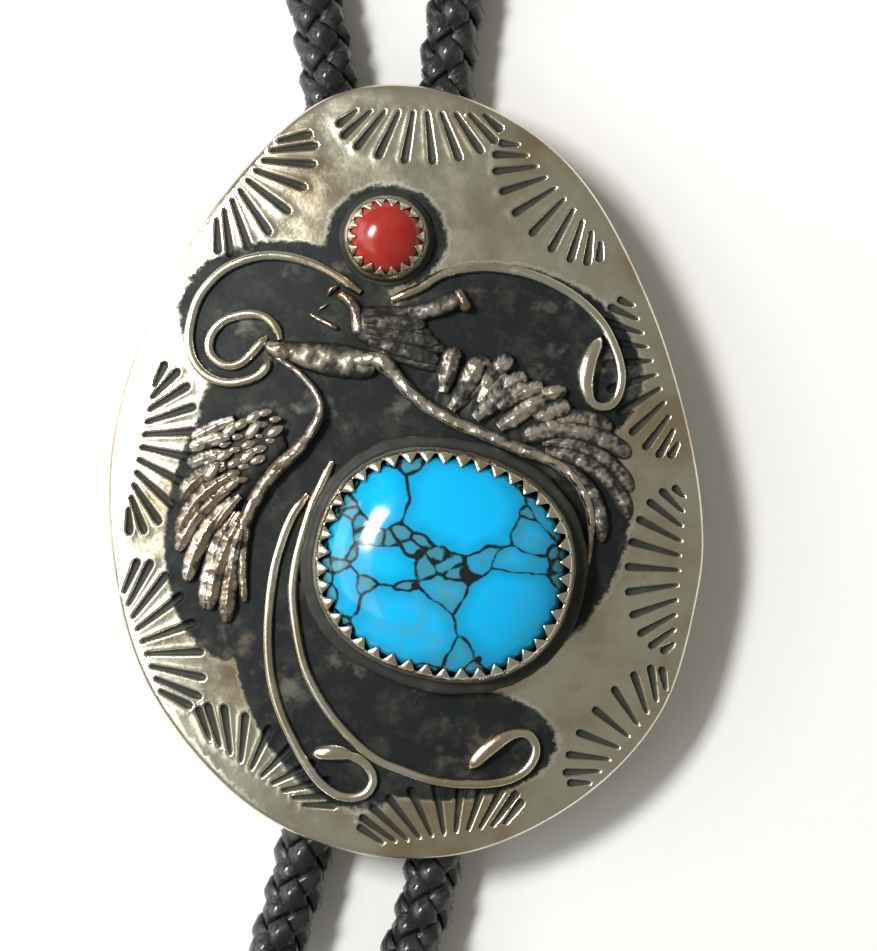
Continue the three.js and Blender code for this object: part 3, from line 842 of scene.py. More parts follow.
def stroke_loop(outer, tip, look, offset):
    """The outline of a stroke, grown by an offset."""
    along = tip - outer
    heading = math.atan2(along[1], along[0])
    points = []
    for centre, half, start in ((tip, look.stroke_tip, -90), (outer, look.stroke_root, 90)):
        radius = half / MM / 2 + offset
        for step in range(7):
            angle = heading + math.radians(start + step * 30)
            points.append(centre + radius * np.array([math.cos(angle), math.sin(angle)]))
    corners = np.array(points)
    return even_line(corners, max(16, int(np.linalg.norm(along) / 0.14)), closed=True)


def stroke_field(points, strokes, look):
    """How far each point is outside its nearest stroke, and how far along that stroke it lies."""
    nearest = np.full(len(points), 1e9)
    share_there = np.zeros(len(points))
    for outer, tip in strokes:
        along = tip - outer
        share = np.clip(((points - outer) @ along) / (along @ along), 0.0, 1.0)
        half = (look.stroke_root + (look.stroke_tip - look.stroke_root) * share) / MM / 2
        gap = np.linalg.norm(points - outer - share[:, None] * along, axis=1) - half
        closer = gap < nearest
        nearest = np.where(closer, gap, nearest)
        share_there = np.where(closer, share, share_there)
    return nearest, share_there


def stamped_height(points, strokes, look):
    """Height of the stamped face, and how deep in a stroke each point lies."""
    gap, share = stroke_field(points, strokes, look)
    depth = (look.stroke_depth / MM) * (0.6 + 0.4 * share)
    wall_run = 0.17
    lip_height, lip_place, lip_spread = 0.05, 0.08, 0.13
    sunk = smooth_step(-gap / wall_run)
    lip = lip_height * np.exp(-((gap - lip_place) / lip_spread) ** 2)
    wave = 0.035 * ripple(points, 6.5, 3.1) + 0.012 * ripple(points, 1.7, 8.4)
    height = dome_height(points[:, 0], points[:, 1]) + wave + lip - depth * sunk
    return height, sunk


def slide_face(look, finish):
    """The domed, stamped plate with its rolled rim."""
    rim_count = 300
    loop_offsets = (0.26, 0.08, 0.0, -0.09, -0.16)
    rim = even_line(smooth_line(RIM, 24, closed=True), rim_count, closed=True)
    normals = outward(rim)
    inner = rim - normals * EDGE_RADIUS
    strokes = [ends for fan in FANS for ends in stroke_ends(fan)]
    flat = [inner]
    edges = [(i, (i + 1) % rim_count) for i in range(rim_count)]
    first = rim_count
    for outer, tip in strokes:
        for offset in loop_offsets:
            loop = stroke_loop(outer, tip, look, offset)
            flat.append(loop)
            edges.extend((first + i, first + (i + 1) % len(loop)) for i in range(len(loop)))
            first += len(loop)
    pitch = 0.5
    columns = np.arange(-HALF_WIDTH, HALF_WIDTH, pitch)
    rows = np.arange(-HALF_LENGTH, HALF_LENGTH, pitch)
    grid = np.array([(x + pitch / 2 * (j % 2), y) for j, y in enumerate(rows) for x in columns])
    clear = (signed_distance(grid, inner) > 0.3) & (stroke_field(grid, strokes, look)[0] > 0.4)
    flat.append(grid[clear])
    planned = np.vstack(flat)
    found = delaunay_2d_cdt([Vector(p) for p in planned], edges, [], 1, 1e-5)
    points = np.array([tuple(p) for p in found[0]])
    where = {given: index for index, sources in enumerate(found[3]) for given in sources}
    height, sunk = stamped_height(points, strokes, look)
    vertices = np.column_stack([points, height]).tolist()
    faces = [tuple(face) for face in found[2]]
    previous = [where[i] for i in range(rim_count)]
    rim_drop = dome_height(rim[:, 0], rim[:, 1])
    rings = []
    for angle in (30, 60, 90):
        reach = EDGE_RADIUS * (1 - math.sin(math.radians(angle)))
        rings.append((rim - normals * reach, rim_drop - EDGE_RADIUS * (1 - math.cos(math.radians(angle)))))
    rings.append((rim, rim_drop - THICKNESS + EDGE_RADIUS))
    rings.append((inner, rim_drop - THICKNESS))
    for share in (0.8, 0.6, 0.4, 0.2):
        ring = inner * share
        rings.append((ring, dome_height(ring[:, 0], ring[:, 1]) - THICKNESS))
    for ring, ring_height in rings:
        start = len(vertices)
        vertices.extend(np.column_stack([ring, ring_height]).tolist())
        for i in range(rim_count):
            k = (i + 1) % rim_count
            faces.append((previous[i], previous[k], start + k, start + i))
        previous = list(range(start, start + rim_count))
    faces.append(tuple(previous))
    everywhere = np.array(vertices)[:, :2]
    outside = np.min([oval_reach(everywhere, shape) for shape in OXIDE_OVALS], axis=0)
    field = np.clip(-outside, -3.0, 3.0)
    field[len(points):] = -3.0
    groove = np.concatenate([sunk, np.zeros(len(vertices) - len(points))])
    return make_piece(
        "slide_face", vertices, faces, finish, ["slide_plate"],
        {"field": field, "groove": groove})


def oval(setting, count, grow=0.0):
    """An evenly spaced outline round a setting, grown by an offset."""
    angle = np.linspace(0, math.tau, count * 4, endpoint=False)
    power = 2 / setting.squareness
    x = setting.half_length * np.sign(np.cos(angle)) * np.abs(np.cos(angle)) ** power
    y = setting.half_width * np.sign(np.sin(angle)) * np.abs(np.sin(angle)) ** power
    cos, sin = math.cos(setting.turn), math.sin(setting.turn)
    line = np.column_stack([setting.x + x * cos - y * sin, setting.y + x * sin + y * cos])
    line = even_line(line, count, closed=True)
    return line + outward(line) * grow


def crown_height(setting, inset):
    """Height of a stone's surface at an inset from its edge."""
    base = dome_height(setting.x, setting.y)
    girdle = base + setting.wall_height * GIRDLE_SHARE
    share = 1 - inset / (setting.half_width - stone_inset(setting))
    rise = base + setting.crown - girdle
    return girdle + rise * (1 - share ** CROWN_POWER) ** (1 / CROWN_POWER)


def stone_inset(setting):
    """How far a stone's edge lies inside its bezel's foot."""
    return setting.wall * WALL_SHARE + 0.06


def bezel_ring(name, setting, finish):
    """A bezel's leaning wall and the collar that it stands on."""
    count = max(96, setting.teeth * 6)
    base = dome_height(setting.x, setting.y)
    wall, top = setting.wall, setting.wall_height
    step, rise = setting.collar, setting.collar_height
    sunk = None
    profile = (
        (step, sunk, 0.0), (step + 0.02, rise - 0.22, 0.0), (step - 0.1, rise - 0.05, 0.25),
        (step * 0.55, rise, 0.0), (0.14, rise + 0.02, 0.0), (0.02, rise + 0.12, 0.1),
        (-0.05, top * 0.45, 0.45), (-0.16, top * 0.72, 0.55), (-0.28, top * 0.88, 0.9),
        (-0.4, top * 0.95, 1.0), (-0.5, top * 0.96, 0.7), (-WALL_SHARE * wall, top * 0.9, 0.2),
        (-WALL_SHARE * wall, sunk, 0.0),
    )
    outline = oval(setting, count)
    normals = outward(outline)
    wobble = 0.16 * ripple(outline, 2.4, 5.5) + 0.08 * ripple(outline, 0.9, 1.5)
    vertices, crest = [], []
    for offset, height, shine in profile:
        worn = wobble * (1.0 if offset > 0.1 else 0.15) * min(1.0, step * 1.4)
        ring = outline + normals * (offset + worn)[:, None]
        if height is sunk:
            z = dome_height(ring[:, 0], ring[:, 1]) - 0.4
        else:
            z = base + height + worn * 0.25
            z = np.maximum(z, dome_height(ring[:, 0], ring[:, 1]) + 0.08) if offset > 0.1 else z
        vertices.append(np.column_stack([ring, np.broadcast_to(z, count)]))
        crest.extend([shine] * count)
    faces = ring_faces(len(profile), count, closed_ends=False)
    last = (len(profile) - 1) * count
    for i in range(count):
        k = (i + 1) % count
        faces.append((last + i, last + k, k, i))
    return make_piece(
        name, np.vstack(vertices), faces, finish, ["slide_plate"], {"crest": crest})


def tooth_shape(width, length, thickness):
    """One bezel tooth: a small plate that narrows to a point and bends down."""
    rows = ((0.0, 1.0), (0.3, 0.74), (0.65, 0.4), (1.0, 0.05))
    vertices = []
    for share, spread in rows:
        half = width / 2 * spread
        y = length * share
        z = 0.16 * length * share * (1 - share)
        vertices += [(-half, y, z), (0.0, y, z + thickness * 0.5 * (1 - share)), (half, y, z)]
        vertices += [(half, y, z - thickness), (-half, y, z - thickness)]
    crest = [0.75, 1.0, 0.75, 0.1, 0.1]
    mesh = closed_mesh(
        "bezel_tooth", vertices, ring_faces(len(rows), len(crest)), {"crest": crest * len(rows)})
    return bpy.data.objects.new("bezel_tooth", mesh)


def bezel_teeth(name, setting, finish, tree):
    """The row of teeth bent over a stone's edge."""
    length = setting.wall + TOOTH_REACH
    line = oval(setting, setting.teeth, -TOOTH_FOLD)
    inward = -outward(line)
    girth = np.linalg.norm(np.roll(line, -1, axis=0) - line, axis=1).mean()
    turn = np.arctan2(inward[:, 1], inward[:, 0]) - math.pi / 2
    jitter = ripple(line, 0.7, 2.2)
    height = dome_height(setting.x, setting.y) + setting.wall_height * 0.95
    tip_inset = TOOTH_FOLD + length - stone_inset(setting)
    rise = crown_height(setting, tip_inset) + TOOTH_CLEARANCE - height
    points = np.column_stack([line, np.full(setting.teeth, height)])
    shape = tooth_shape(girth * 0.98, math.hypot(length, rise), TOOTH_THICKNESS)
    piece = grown(name, points, [], tree, {"Shape": shape, "Material": finish},
                  ["slide_plate"], {
                      "turn": turn + jitter * 0.12, "tip": math.atan2(rise, length) + jitter * 0.12,
                      "lean": jitter * 0.2, "size": 1.0 + jitter * 0.18})
    bpy.data.objects.remove(shape)
    return piece


def cabochon(name, setting, finish, node, chart):
    """A stone: flat below, a short wall inside its bezel, and a domed crown."""
    reach = 1 - stone_inset(setting) / setting.half_width
    base = dome_height(setting.x, setting.y) + STONE_GAP
    girdle = crown_height(setting, 0.0)
    crown = base - STONE_GAP + setting.crown
    rings = int(setting.half_length * 1.35 / STONE_SPACING)
    count = int(math.tau * setting.half_length * reach / STONE_SPACING / 1.25)
    outline = (oval(setting, count) - (setting.x, setting.y)) * reach
    vertices = [np.column_stack([outline + (setting.x, setting.y), np.full(count, base)])]
    for i in range(rings):
        angle = i / rings * math.pi / 2
        ring = outline * math.cos(angle) ** (2 / CROWN_POWER) + (setting.x, setting.y)
        height = girdle + (crown - girdle) * math.sin(angle) ** (2 / CROWN_POWER)
        vertices.append(np.column_stack([ring, np.full(count, height)]))
    vertices.append(np.array([(setting.x, setting.y, crown)]))
    points = np.vstack(vertices)
    faces = ring_faces(rings + 1, count, closed_ends=False)
    top = rings * count
    pole = len(points) - 1
    faces.extend((top + i, top + (i + 1) % count, pole) for i in range(count))
    faces.append(tuple(range(count))[::-1])
    return make_piece(name, points, faces, finish, [node], chart(points[:, :2]))


def grey_cells():
    """Middles of the small grey cells, on a seeded uneven lattice, and how blue each is."""
    chance = np.random.default_rng(7)
    half = TURQUOISE.half_length
    columns = np.arange(TURQUOISE.x - half, TURQUOISE.x + half, CELL_PITCH)
    rows = np.arange(TURQUOISE.y - half, TURQUOISE.y + half, CELL_PITCH)
    places = np.array([(x + CELL_PITCH / 2 * (j % 2), y) for j, y in enumerate(rows) for x in columns])
    places += chance.uniform(-CELL_STRAY, CELL_STRAY, places.shape)
    blue = chance.uniform(*CELL_BLUE, len(places))
    reach = [oval_reach(places, patch, PATCH_POWER) for patch in TURQUOISE_PATCHES]
    clear = np.min(reach, axis=0) > CELL_CLEARANCE
    for knot in WEB_KNOTS:
        clear &= np.hypot(places[:, 0] - knot.x, places[:, 1] - knot.y) > knot.reach
    return places[clear], blue[clear]


def turquoise_chart(points):
    """How far each point lies from the web, and how blue its patch is."""
    drift = np.column_stack([ripple(points, 1.6, 4.2), ripple(points, 1.6, 9.7)]) * 0.3
    drift += np.column_stack([ripple(points, 0.6, 1.2), ripple(points, 0.6, 6.7)]) * 0.08
    moved = points + drift
    cells, cell_blue = grey_cells()
    reach = [oval_reach(moved, patch, PATCH_POWER) for patch in TURQUOISE_PATCHES]
    reach += [np.hypot((moved[:, 0] - x) * 0.85, moved[:, 1] - y) - 0.3 - size
              for (x, y), size in zip(cells, cell_blue)]
    order = np.sort(np.array(reach), axis=0)
    nearest = np.argmin(np.array(reach), axis=0)
    blue = np.concatenate([[patch.blue for patch in TURQUOISE_PATCHES], cell_blue])[nearest]
    between = (order[1] - order[0]) * 0.52
    seam = np.minimum(between, 0.5 - order[0])
    for knot in WEB_KNOTS:
        seam = np.minimum(seam, np.hypot(moved[:, 0] - knot.x, moved[:, 1] - knot.y) - knot.reach * 0.6)
    return {"seam": np.clip(seam, -1.0, 1.5), "blue": blue}


def plain_chart(points):
    """No chart: the stone's pattern is all in its material."""
    return {}


def scroll_wires(look, finish, tree):
    """Round wires soldered to the face, with hammered ends."""
    pieces = []
    radius = look.wire_radius / MM
    for label, points in WIRES.items():
        line = smooth_line(points, 6)
        line = even_line(line, int(np.linalg.norm(np.diff(line, axis=0), axis=1).sum() / 0.3))
        run = np.linspace(0.0, 1.0, len(line))
        length = len(line) * 0.3
        width = np.full(len(line), radius)
        width *= 0.7 + 0.3 * smooth_step(run * length / 1.2)
        flat_length = FLAT_ENDED.get(label, 0.0)
        left = (1 - run) * length
        if flat_length:
            width *= 1 + 0.75 * np.sin(np.pi * np.clip(left / flat_length, 0, 1)) ** 0.8
        width *= 0.5 + 0.5 * smooth_step(left / 0.5)
        height = dome_height(line[:, 0], line[:, 1]) + width * 0.62
        pieces.append(grown(
            "wire_" + label, np.column_stack([line, height]), chain(len(line)), tree,
            {"Sides": 14, "Flatness": 0.92, "Material": finish}, ["slide_plate"],
            {"width": width * MM}))
    return pieces


def relief(heap, line, width, height, lift, barbs=0.0, ridge=0.0, tone=1.0):
    """A closed raised strip along a flat line: rounded across, rough as cast, with slanted barbs
    and a ridge. A low tone leaves it dark."""
    across_count = 11
    v = np.linspace(-1.0, 1.0, across_count)
    ahead = np.gradient(line, axis=0)
    ahead /= np.linalg.norm(ahead, axis=1)[:, None]
    across = np.column_stack([-ahead[:, 1], ahead[:, 0]])
    half = np.maximum(width * (1 + 0.1 * ripple(line, 1.1, 12.3)), 0.04) / 2
    run = np.concatenate([[0.0], np.cumsum(np.linalg.norm(np.diff(line, axis=0), axis=1))])
    rounded = np.sqrt(np.clip(1 - np.abs(v) ** 2.6, 0.0, 1.0))
    x = line[:, 0, None] + across[:, 0, None] * half[:, None] * v
    y = line[:, 1, None] + across[:, 1, None] * half[:, None] * v
    flat = np.column_stack([x.ravel(), y.ravel()])
    lumps = ripple(flat, 0.85, 4.4).reshape(x.shape)
    pits = ripple(flat, 0.33, 8.8).reshape(x.shape)
    stray = ripple(flat, 1.6, 2.9).reshape(x.shape)
    phase = (run[:, None] - np.abs(v) * half[:, None] * 1.1) / 0.5 + 0.5 * stray
    barb = 0.5 + 0.5 * np.cos(math.tau * phase)
    outer = smooth_step((np.abs(v) - 0.12) / 0.25)
    spine = np.exp(-(v / 0.17) ** 2)
    z = dome_height(x, y) + lift[:, None] + height[:, None] * rounded
    z = z + rounded * (0.2 * lumps + 0.1 * pits) * np.minimum(1.0, half[:, None] / 0.5)
    z = z - barbs * (1 - barb) * outer * (0.4 + 0.6 * rounded)
    z = z + ridge * (spine - 0.9 * np.exp(-((np.abs(v) - 0.36) / 0.14) ** 2))
    top = np.dstack([x, y, z])
    crest = 0.05 + 0.85 * rounded + 0.45 * lumps + 0.3 * pits
    crest = crest - (0.15 * (1 - barb) * outer if barbs else 0.0)
    crest = np.clip(crest, 0.0, 1.0) * tone
    foot = []
    for edge in (-1, 0):
        foot_z = dome_height(x[:, edge], y[:, edge]) - 0.3
        foot.append(np.column_stack([x[:, edge], y[:, edge], foot_z]))
    rings = np.concatenate([top, foot[0][:, None], foot[1][:, None]], axis=1)
    shades = np.concatenate([crest, np.zeros((len(line), 2))], axis=1)
    around = across_count + 2
    heap.add(rings.reshape(-1, 3), ring_faces(len(line), around), shades.reshape(-1))


def spray_feathers(spray):
    """A spray's feathers with their lifts, from its first to its last, each a little astray."""
    for i in range(spray.count):
        share = i / (spray.count - 1)
        row = np.array(spray.first) * (1 - share) + np.array(spray.last) * share
        stray = noise.noise(Vector((row[0] * 2, row[1] * 2, 5.5)))
        longer = spray.bulge * math.sin(math.pi * share) + 0.8 * stray
        found = Feather(*row)
        found = found._replace(heading=found.heading + 9 * stray, length=found.length + longer)
        yield found, spray.lift * (0.75 + 0.5 * (i % 2))


def feather(heap, row, lift_height, relief_share, tone):
    """One cast feather along an arc, narrow at its root and round at its tip."""
    count = max(12, int(row.length / 0.1))
    share = np.linspace(0.0, 1.0, count)
    angle = np.radians(row.heading + row.bend * (share[1:] + share[:-1]) / 2)
    stride = row.length / (count - 1)
    x = row.x + np.concatenate([[0.0], np.cumsum(np.cos(angle))]) * stride
    y = row.y + np.concatenate([[0.0], np.cumsum(np.sin(angle))]) * stride
    opening = 0.6 + 0.4 * smooth_step(share / 0.35)
    closing = np.sqrt(np.clip(1 - np.clip((share - 0.78) / 0.22, 0, 1) ** 2.2, 0.002, 1))
    width = row.width * opening * closing
    height = 0.55 * relief_share * np.sqrt(row.width) * closing ** 0.6
    lift = lift_height * (1 - 0.5 * share) * closing ** 0.2
    relief(heap, np.column_stack([x, y]), width, height, lift,
           barbs=0.025 * relief_share, ridge=0.1 * relief_share, tone=tone)


def limb(heap, rows, tone):
    """A limb along a smooth line with its own widths and heights."""
    line = smooth_line(rows, 8)
    length = np.linalg.norm(np.diff(line[:, :2], axis=0), axis=1).sum()
    line = even_line(line, max(14, int(length / 0.13)))
    run = np.linspace(0.0, length, len(line))
    end = np.sqrt(np.clip(1 - (1 - np.clip(np.minimum(run, length - run) / 0.5, 0, 1)) ** 2, 0.01, 1))
    lumps = 1 + 0.07 * ripple(line[:, :2], 0.8, 7.7)
    width = line[:, 2] * end * lumps
    height = line[:, 3] * end ** 0.5 * lumps
    relief(heap, line[:, :2], width, height, np.zeros(len(line)), tone=tone)


def covert_shape():
    """One knobby covert: a small pointed pellet."""
    stations = ((-0.75, 0.25, 0.12), (-0.5, 0.6, 0.26), (-0.1, 0.85, 0.36), (0.35, 0.8, 0.4),
                (0.62, 0.5, 0.26), (0.75, 0.2, 0.1))
    vertices = []
    sides = 8
    for x, wide, high in stations:
        for k in range(sides):
            angle = math.tau * k / sides
            vertices.append((x, 0.5 * wide * math.cos(angle), high * math.sin(angle)))
    crest = [max(0.0, 0.35 + 0.65 * math.sin(math.tau * k / sides)) for k in range(sides)]
    mesh = closed_mesh(
        "covert", vertices, ring_faces(len(stations), sides), {"crest": crest * len(stations)})
    return bpy.data.objects.new("covert", mesh)


def wing_coverts(finish, tree):
    """Rows of coverts over the bed of the left wing."""
    root = np.array([-9.6, 3.8])
    down = np.array([-0.62, -0.78])
    outwards = np.array([-0.86, 0.5])
    places = []
    for row in range(8):
        for place in range(6):
            point = root + down * row * 0.95 + outwards * (place * 1.0 + 0.5 * (row % 2))
            places.append(point)
    places = np.array(places)
    bed = smooth_line([p[:2] for p in LIMBS["wing_bed"]], 6)
    gap = np.min(np.linalg.norm(places[:, None] - bed[None], axis=2), axis=1)
    places = places[(gap < 2.5) & (places[:, 0] < -9.6)]
    stray = ripple(places, 0.5, 3.3)
    places = places + np.column_stack([stray, ripple(places, 0.5, 6.6)]) * 0.3
    height = dome_height(places[:, 0], places[:, 1]) + 0.85 + 0.12 * stray
    points = np.column_stack([places, height])
    shape = covert_shape()
    piece = grown("eagle_left_coverts", points, [], tree, {"Shape": shape, "Material": finish},
                  ["slide_plate"], {
                      "turn": math.radians(200) + 0.9 * stray, "tip": 0.6 * stray,
                      "lean": -0.12 + 0.6 * stray, "size": 0.9 + 0.6 * stray})
    bpy.data.objects.remove(shape)
    return piece


def eagle(finish, tree):
    """The cast eagle: wings, shoulder, tail, body and limbs."""
    groups = {
        "eagle_left_wing": (LEFT_WING, ("wing_bed", "left_arm"), 1.0, 1.0),
        "eagle_right_wing": (RIGHT_WING, ("shoulder_bed", "right_arm"), 0.8, 0.72),
        "eagle_shoulder": (SHOULDER, (), 1.0, 0.85),
        "eagle_tail": (TAIL, ("rump",), 0.45, 0.6),
        "eagle_body": ((), ("neck", "head", "left_leg", "left_claw", "far_leg", "far_claw",
                            "right_leg", "right_foot"), 1.0, 1.0),
    }
    for name, (sprays, limbs, relief_share, tone) in groups.items():
        heap = Heap()
        for spray in sprays:
            for row, lift_height in spray_feathers(spray):
                feather(heap, row, lift_height, relief_share, tone)
        for label in limbs:
            # A limb's tone darkens it: painted shade on the two beds, duller tarnish on the rump, neck and
            # right leg.
            limb(heap, LIMBS[label], SHADED_AND_DULL_LIMBS.get(label, 1.0))
        heap.piece(name, finish, "aged_silver", ["slide_plate"])
    wing_coverts(finish, tree)


def braided_cord(look, finish, tree):
    """The whole cord, braided along its route."""
    width = look.strand_width
    thickness = look.strand_thickness
    depth = thickness * 0.5
    radius = CORD_RADIUS * MM - depth - thickness / 2
    return grown(
        "braided_cord", ROUTE, chain(len(ROUTE)), tree, {
            "Radius": radius, "Weave Depth": depth, "Turn Length": look.braid_turn,
            "Strand Width": width, "Strand Thickness": thickness, "Core Radius": radius * 0.75,
            "Strands Each Way": look.strands_each_way, "Steps": BRAID_STEPS, "Core Steps": CORE_STEPS,
            "Material": finish},
        ["neck_cord"])


def cord_tip(name, node, end, inward, finish):
    """A smooth turned tip whose socket holds a tail."""
    heading = np.array(end[:2]) - np.array(inward[:2])
    heading /= np.linalg.norm(heading)
    side = np.array([-heading[1], heading[0]])
    mouth = np.array(end[:2]) - heading * TIP_SOCKET
    body = [(TIP_BORE * 0.2, TIP_SOCKET + STONE_GAP), (TIP_BORE, TIP_SOCKET + STONE_GAP),
            (TIP_BORE, 0.15), (TIP_BORE + 0.15, 0.0), (TIP_OUTER - 0.15, 0.0), (TIP_OUTER, 0.15)]
    for groove in (1.6, 3.0, TIP_SOCKET - 1.2):
        body += [(TIP_OUTER, groove - 0.35), (TIP_OUTER - 0.22, groove), (TIP_OUTER, groove + 0.35)]
    taper = ((TIP_SOCKET, TIP_OUTER), (16.0, 3.3), (21.0, 2.9), (27.0, 2.2), (32.0, 1.55),
             (TIP_LENGTH - TIP_END, TIP_END))
    body += [(r, y) for y, r in smooth_line(taper, 4)]
    for degrees in (25, 50, 72):
        angle = math.radians(degrees)
        body.append((TIP_END * math.cos(angle), TIP_LENGTH - TIP_END + TIP_END * math.sin(angle)))
    sides = 48
    vertices = []
    for radius, run in body:
        for k in range(sides):
            angle = math.tau * k / sides
            flat = mouth + heading * run + side * radius * math.cos(angle)
            vertices.append((flat[0], flat[1], CORD_IN_TIP + radius * math.sin(angle)))
    return make_piece(name, vertices, ring_faces(len(body), sides), finish, [node])


# ---------------------------------------------------------------- settings

def length_setting(name, description, millimetres, least=0.0):
    """A length property, given in millimetres."""
    return bpy.props.FloatProperty(
        name=name, description=description, default=millimetres * MM, min=least, unit="LENGTH",
        precision=5)


def power_setting(name, description, watts):
    """A light's power property."""
    return bpy.props.FloatProperty(
        name=name, description=description, default=watts, min=0.0, unit="POWER")


class BoloSizes(bpy.types.PropertyGroup):
    """Sizes that change the look of the pieces"""
    stroke_root: length_setting("Stroke Root Width", "Width of a stamped stroke at the rim", 0.5)
    stroke_tip: length_setting("Stroke Tip Width", "Width of a stamped stroke at its inner tip", 0.8)
    stroke_depth: length_setting("Stroke Depth", "Depth of a stamped stroke at its inner tip", 0.34)
    wire_radius: length_setting("Wire Radius", "Radius of the scroll wires", 0.41)
    strand_width: length_setting("Strand Width", "Width of one leather strand", 2.0)
    strand_thickness: length_setting("Strand Thickness", "Thickness of one leather strand", 0.95)
    braid_turn: length_setting(
        "Braid Turn", "Length along the cord in which a strand goes once round", 13.5, 0.001)
    strands_each_way: bpy.props.IntProperty(
        name="Strands Each Way", description="How many strands wind each way round the cord",
        default=4, min=2, max=12)


def colour_setting(name, description, value):
    """A colour property."""
    return bpy.props.FloatVectorProperty(
        name=name, description=description, default=value, size=3, min=0.0, max=1.0, subtype="COLOR")


class BoloFinishes(bpy.types.PropertyGroup):
    """Colours and polish of the finishes"""
    silver: colour_setting("Silver", "Clean rubbed silver", (0.80, 0.78, 0.64))
    tarnish: colour_setting("Tarnish", "Warm tarnish on the silver", (0.61, 0.51, 0.36))
    cast: colour_setting("Cast Silver", "Rubbed crests of the cast eagle", (0.78, 0.69, 0.58))
    cast_shade: colour_setting("Cast Shade", "Brown tarnish on the cast eagle", (0.34, 0.25, 0.17))
    stain: colour_setting("Stain", "Brown stains on the silver", (0.36, 0.27, 0.16))
    oxide: colour_setting("Oxide", "Dark oxide in the hollows", (0.01, 0.013, 0.014))
    oxide_pale: colour_setting("Pale Oxide", "Greyer patches in the oxide", (0.03, 0.034, 0.029))
    roughness: bpy.props.FloatProperty(
        name="Silver Roughness", description="How dull the rubbed silver is",
        default=0.2, min=0.0, max=1.0, subtype="FACTOR")
    turquoise: colour_setting("Turquoise", "The clear blue patches", (0.0, 0.47, 0.92))
    turquoise_deep: colour_setting("Deep Turquoise", "The patches near the web", (0.0, 0.24, 0.42))
    turquoise_dull: colour_setting("Dull Turquoise", "The small grey-green patches", (0.09, 0.26, 0.28))
    web: colour_setting("Web", "The black web between the patches", (0.008, 0.012, 0.014))
    coral: colour_setting("Coral", "The coral", (0.37, 0.032, 0.024))
    coral_deep: colour_setting("Deep Coral", "Darker lines in the coral", (0.33, 0.015, 0.012))
    leather: colour_setting("Leather", "The black leather", (0.006, 0.007, 0.009))
    leather_worn: colour_setting("Worn Leather", "Fibres where the dye is worn", (0.012, 0.013, 0.015))
    leather_dust: colour_setting("Leather Dust", "Grey wax and dust on the leather", (0.018, 0.019, 0.021))
    plate_metal: colour_setting("Plated Metal", "The clip and the tips", (0.78, 0.77, 0.74))
    floor: colour_setting("Floor", "The pale floor", (0.95, 0.95, 0.955))
    floor_shade: colour_setting("Floor Shade", "The floor's faint tooth", (0.94, 0.94, 0.947))


class BoloStage(bpy.types.PropertyGroup):
    """The camera, the floor and the lights"""
    camera_height: bpy.props.FloatProperty(
        name="Camera Height", description="Height of the camera over the floor",
        default=0.308, min=0.01, unit="LENGTH")
    camera_x: bpy.props.FloatProperty(
        name="Camera X", description="The camera's place across the tie",
        default=2.6 * MM, unit="LENGTH", precision=5)
    camera_y: bpy.props.FloatProperty(
        name="Camera Y", description="The camera's place along the tie",
        default=-0.3 * MM, unit="LENGTH", precision=5)
    lens: bpy.props.FloatProperty(
        name="Lens", description="Focal length of the camera", default=140.0, min=1.0, unit="CAMERA")
    key_power: power_setting("Key Power", "Power of the light on the upper left", 2.9)
    fill_power: power_setting("Fill Power", "Power of the wide light on the left", 1.8)
    side_power: power_setting("Side Power", "Power of the low light on the far left", 3.0)
    room: colour_setting("Room", "Light from the room overhead", (0.255, 0.245, 0.21))


# ---------------------------------------------------------------- operators

# The lights: place and size in metres, and colour.
Light = namedtuple("Light", "place size size_y colour")
KEY_LIGHT = Light((-0.285, 0.15, 0.48), 0.18, 0.09, (1.0, 0.98, 0.95))
WINDOW_LIGHT = Light((-0.62, -0.1, 0.5), 0.7, 0.5, (0.95, 0.99, 1.0))
SIDE_LIGHT = Light((-0.9, 0.25, 0.36), 0.7, 0.5, (1.0, 1.0, 1.0))


def aimed_light(name, given, power):
    """A rectangular light that faces the slide."""
    light = bpy.data.lights.new(name, "AREA")
    light.shape = "RECTANGLE"
    light.size = given.size
    light.size_y = given.size_y
    light.energy = power
    light.color = given.colour
    lamp = bpy.data.objects.new(name, light)
    lamp.location = given.place
    aim = (Vector((0.0, 0.0, TOP_HEIGHT * MM)) - Vector(given.place)).to_track_quat("-Z", "Y")
    lamp.rotation_mode = "QUATERNION"
    lamp.rotation_quaternion = aim
    bpy.context.scene.collection.objects.link(lamp)
    return lamp


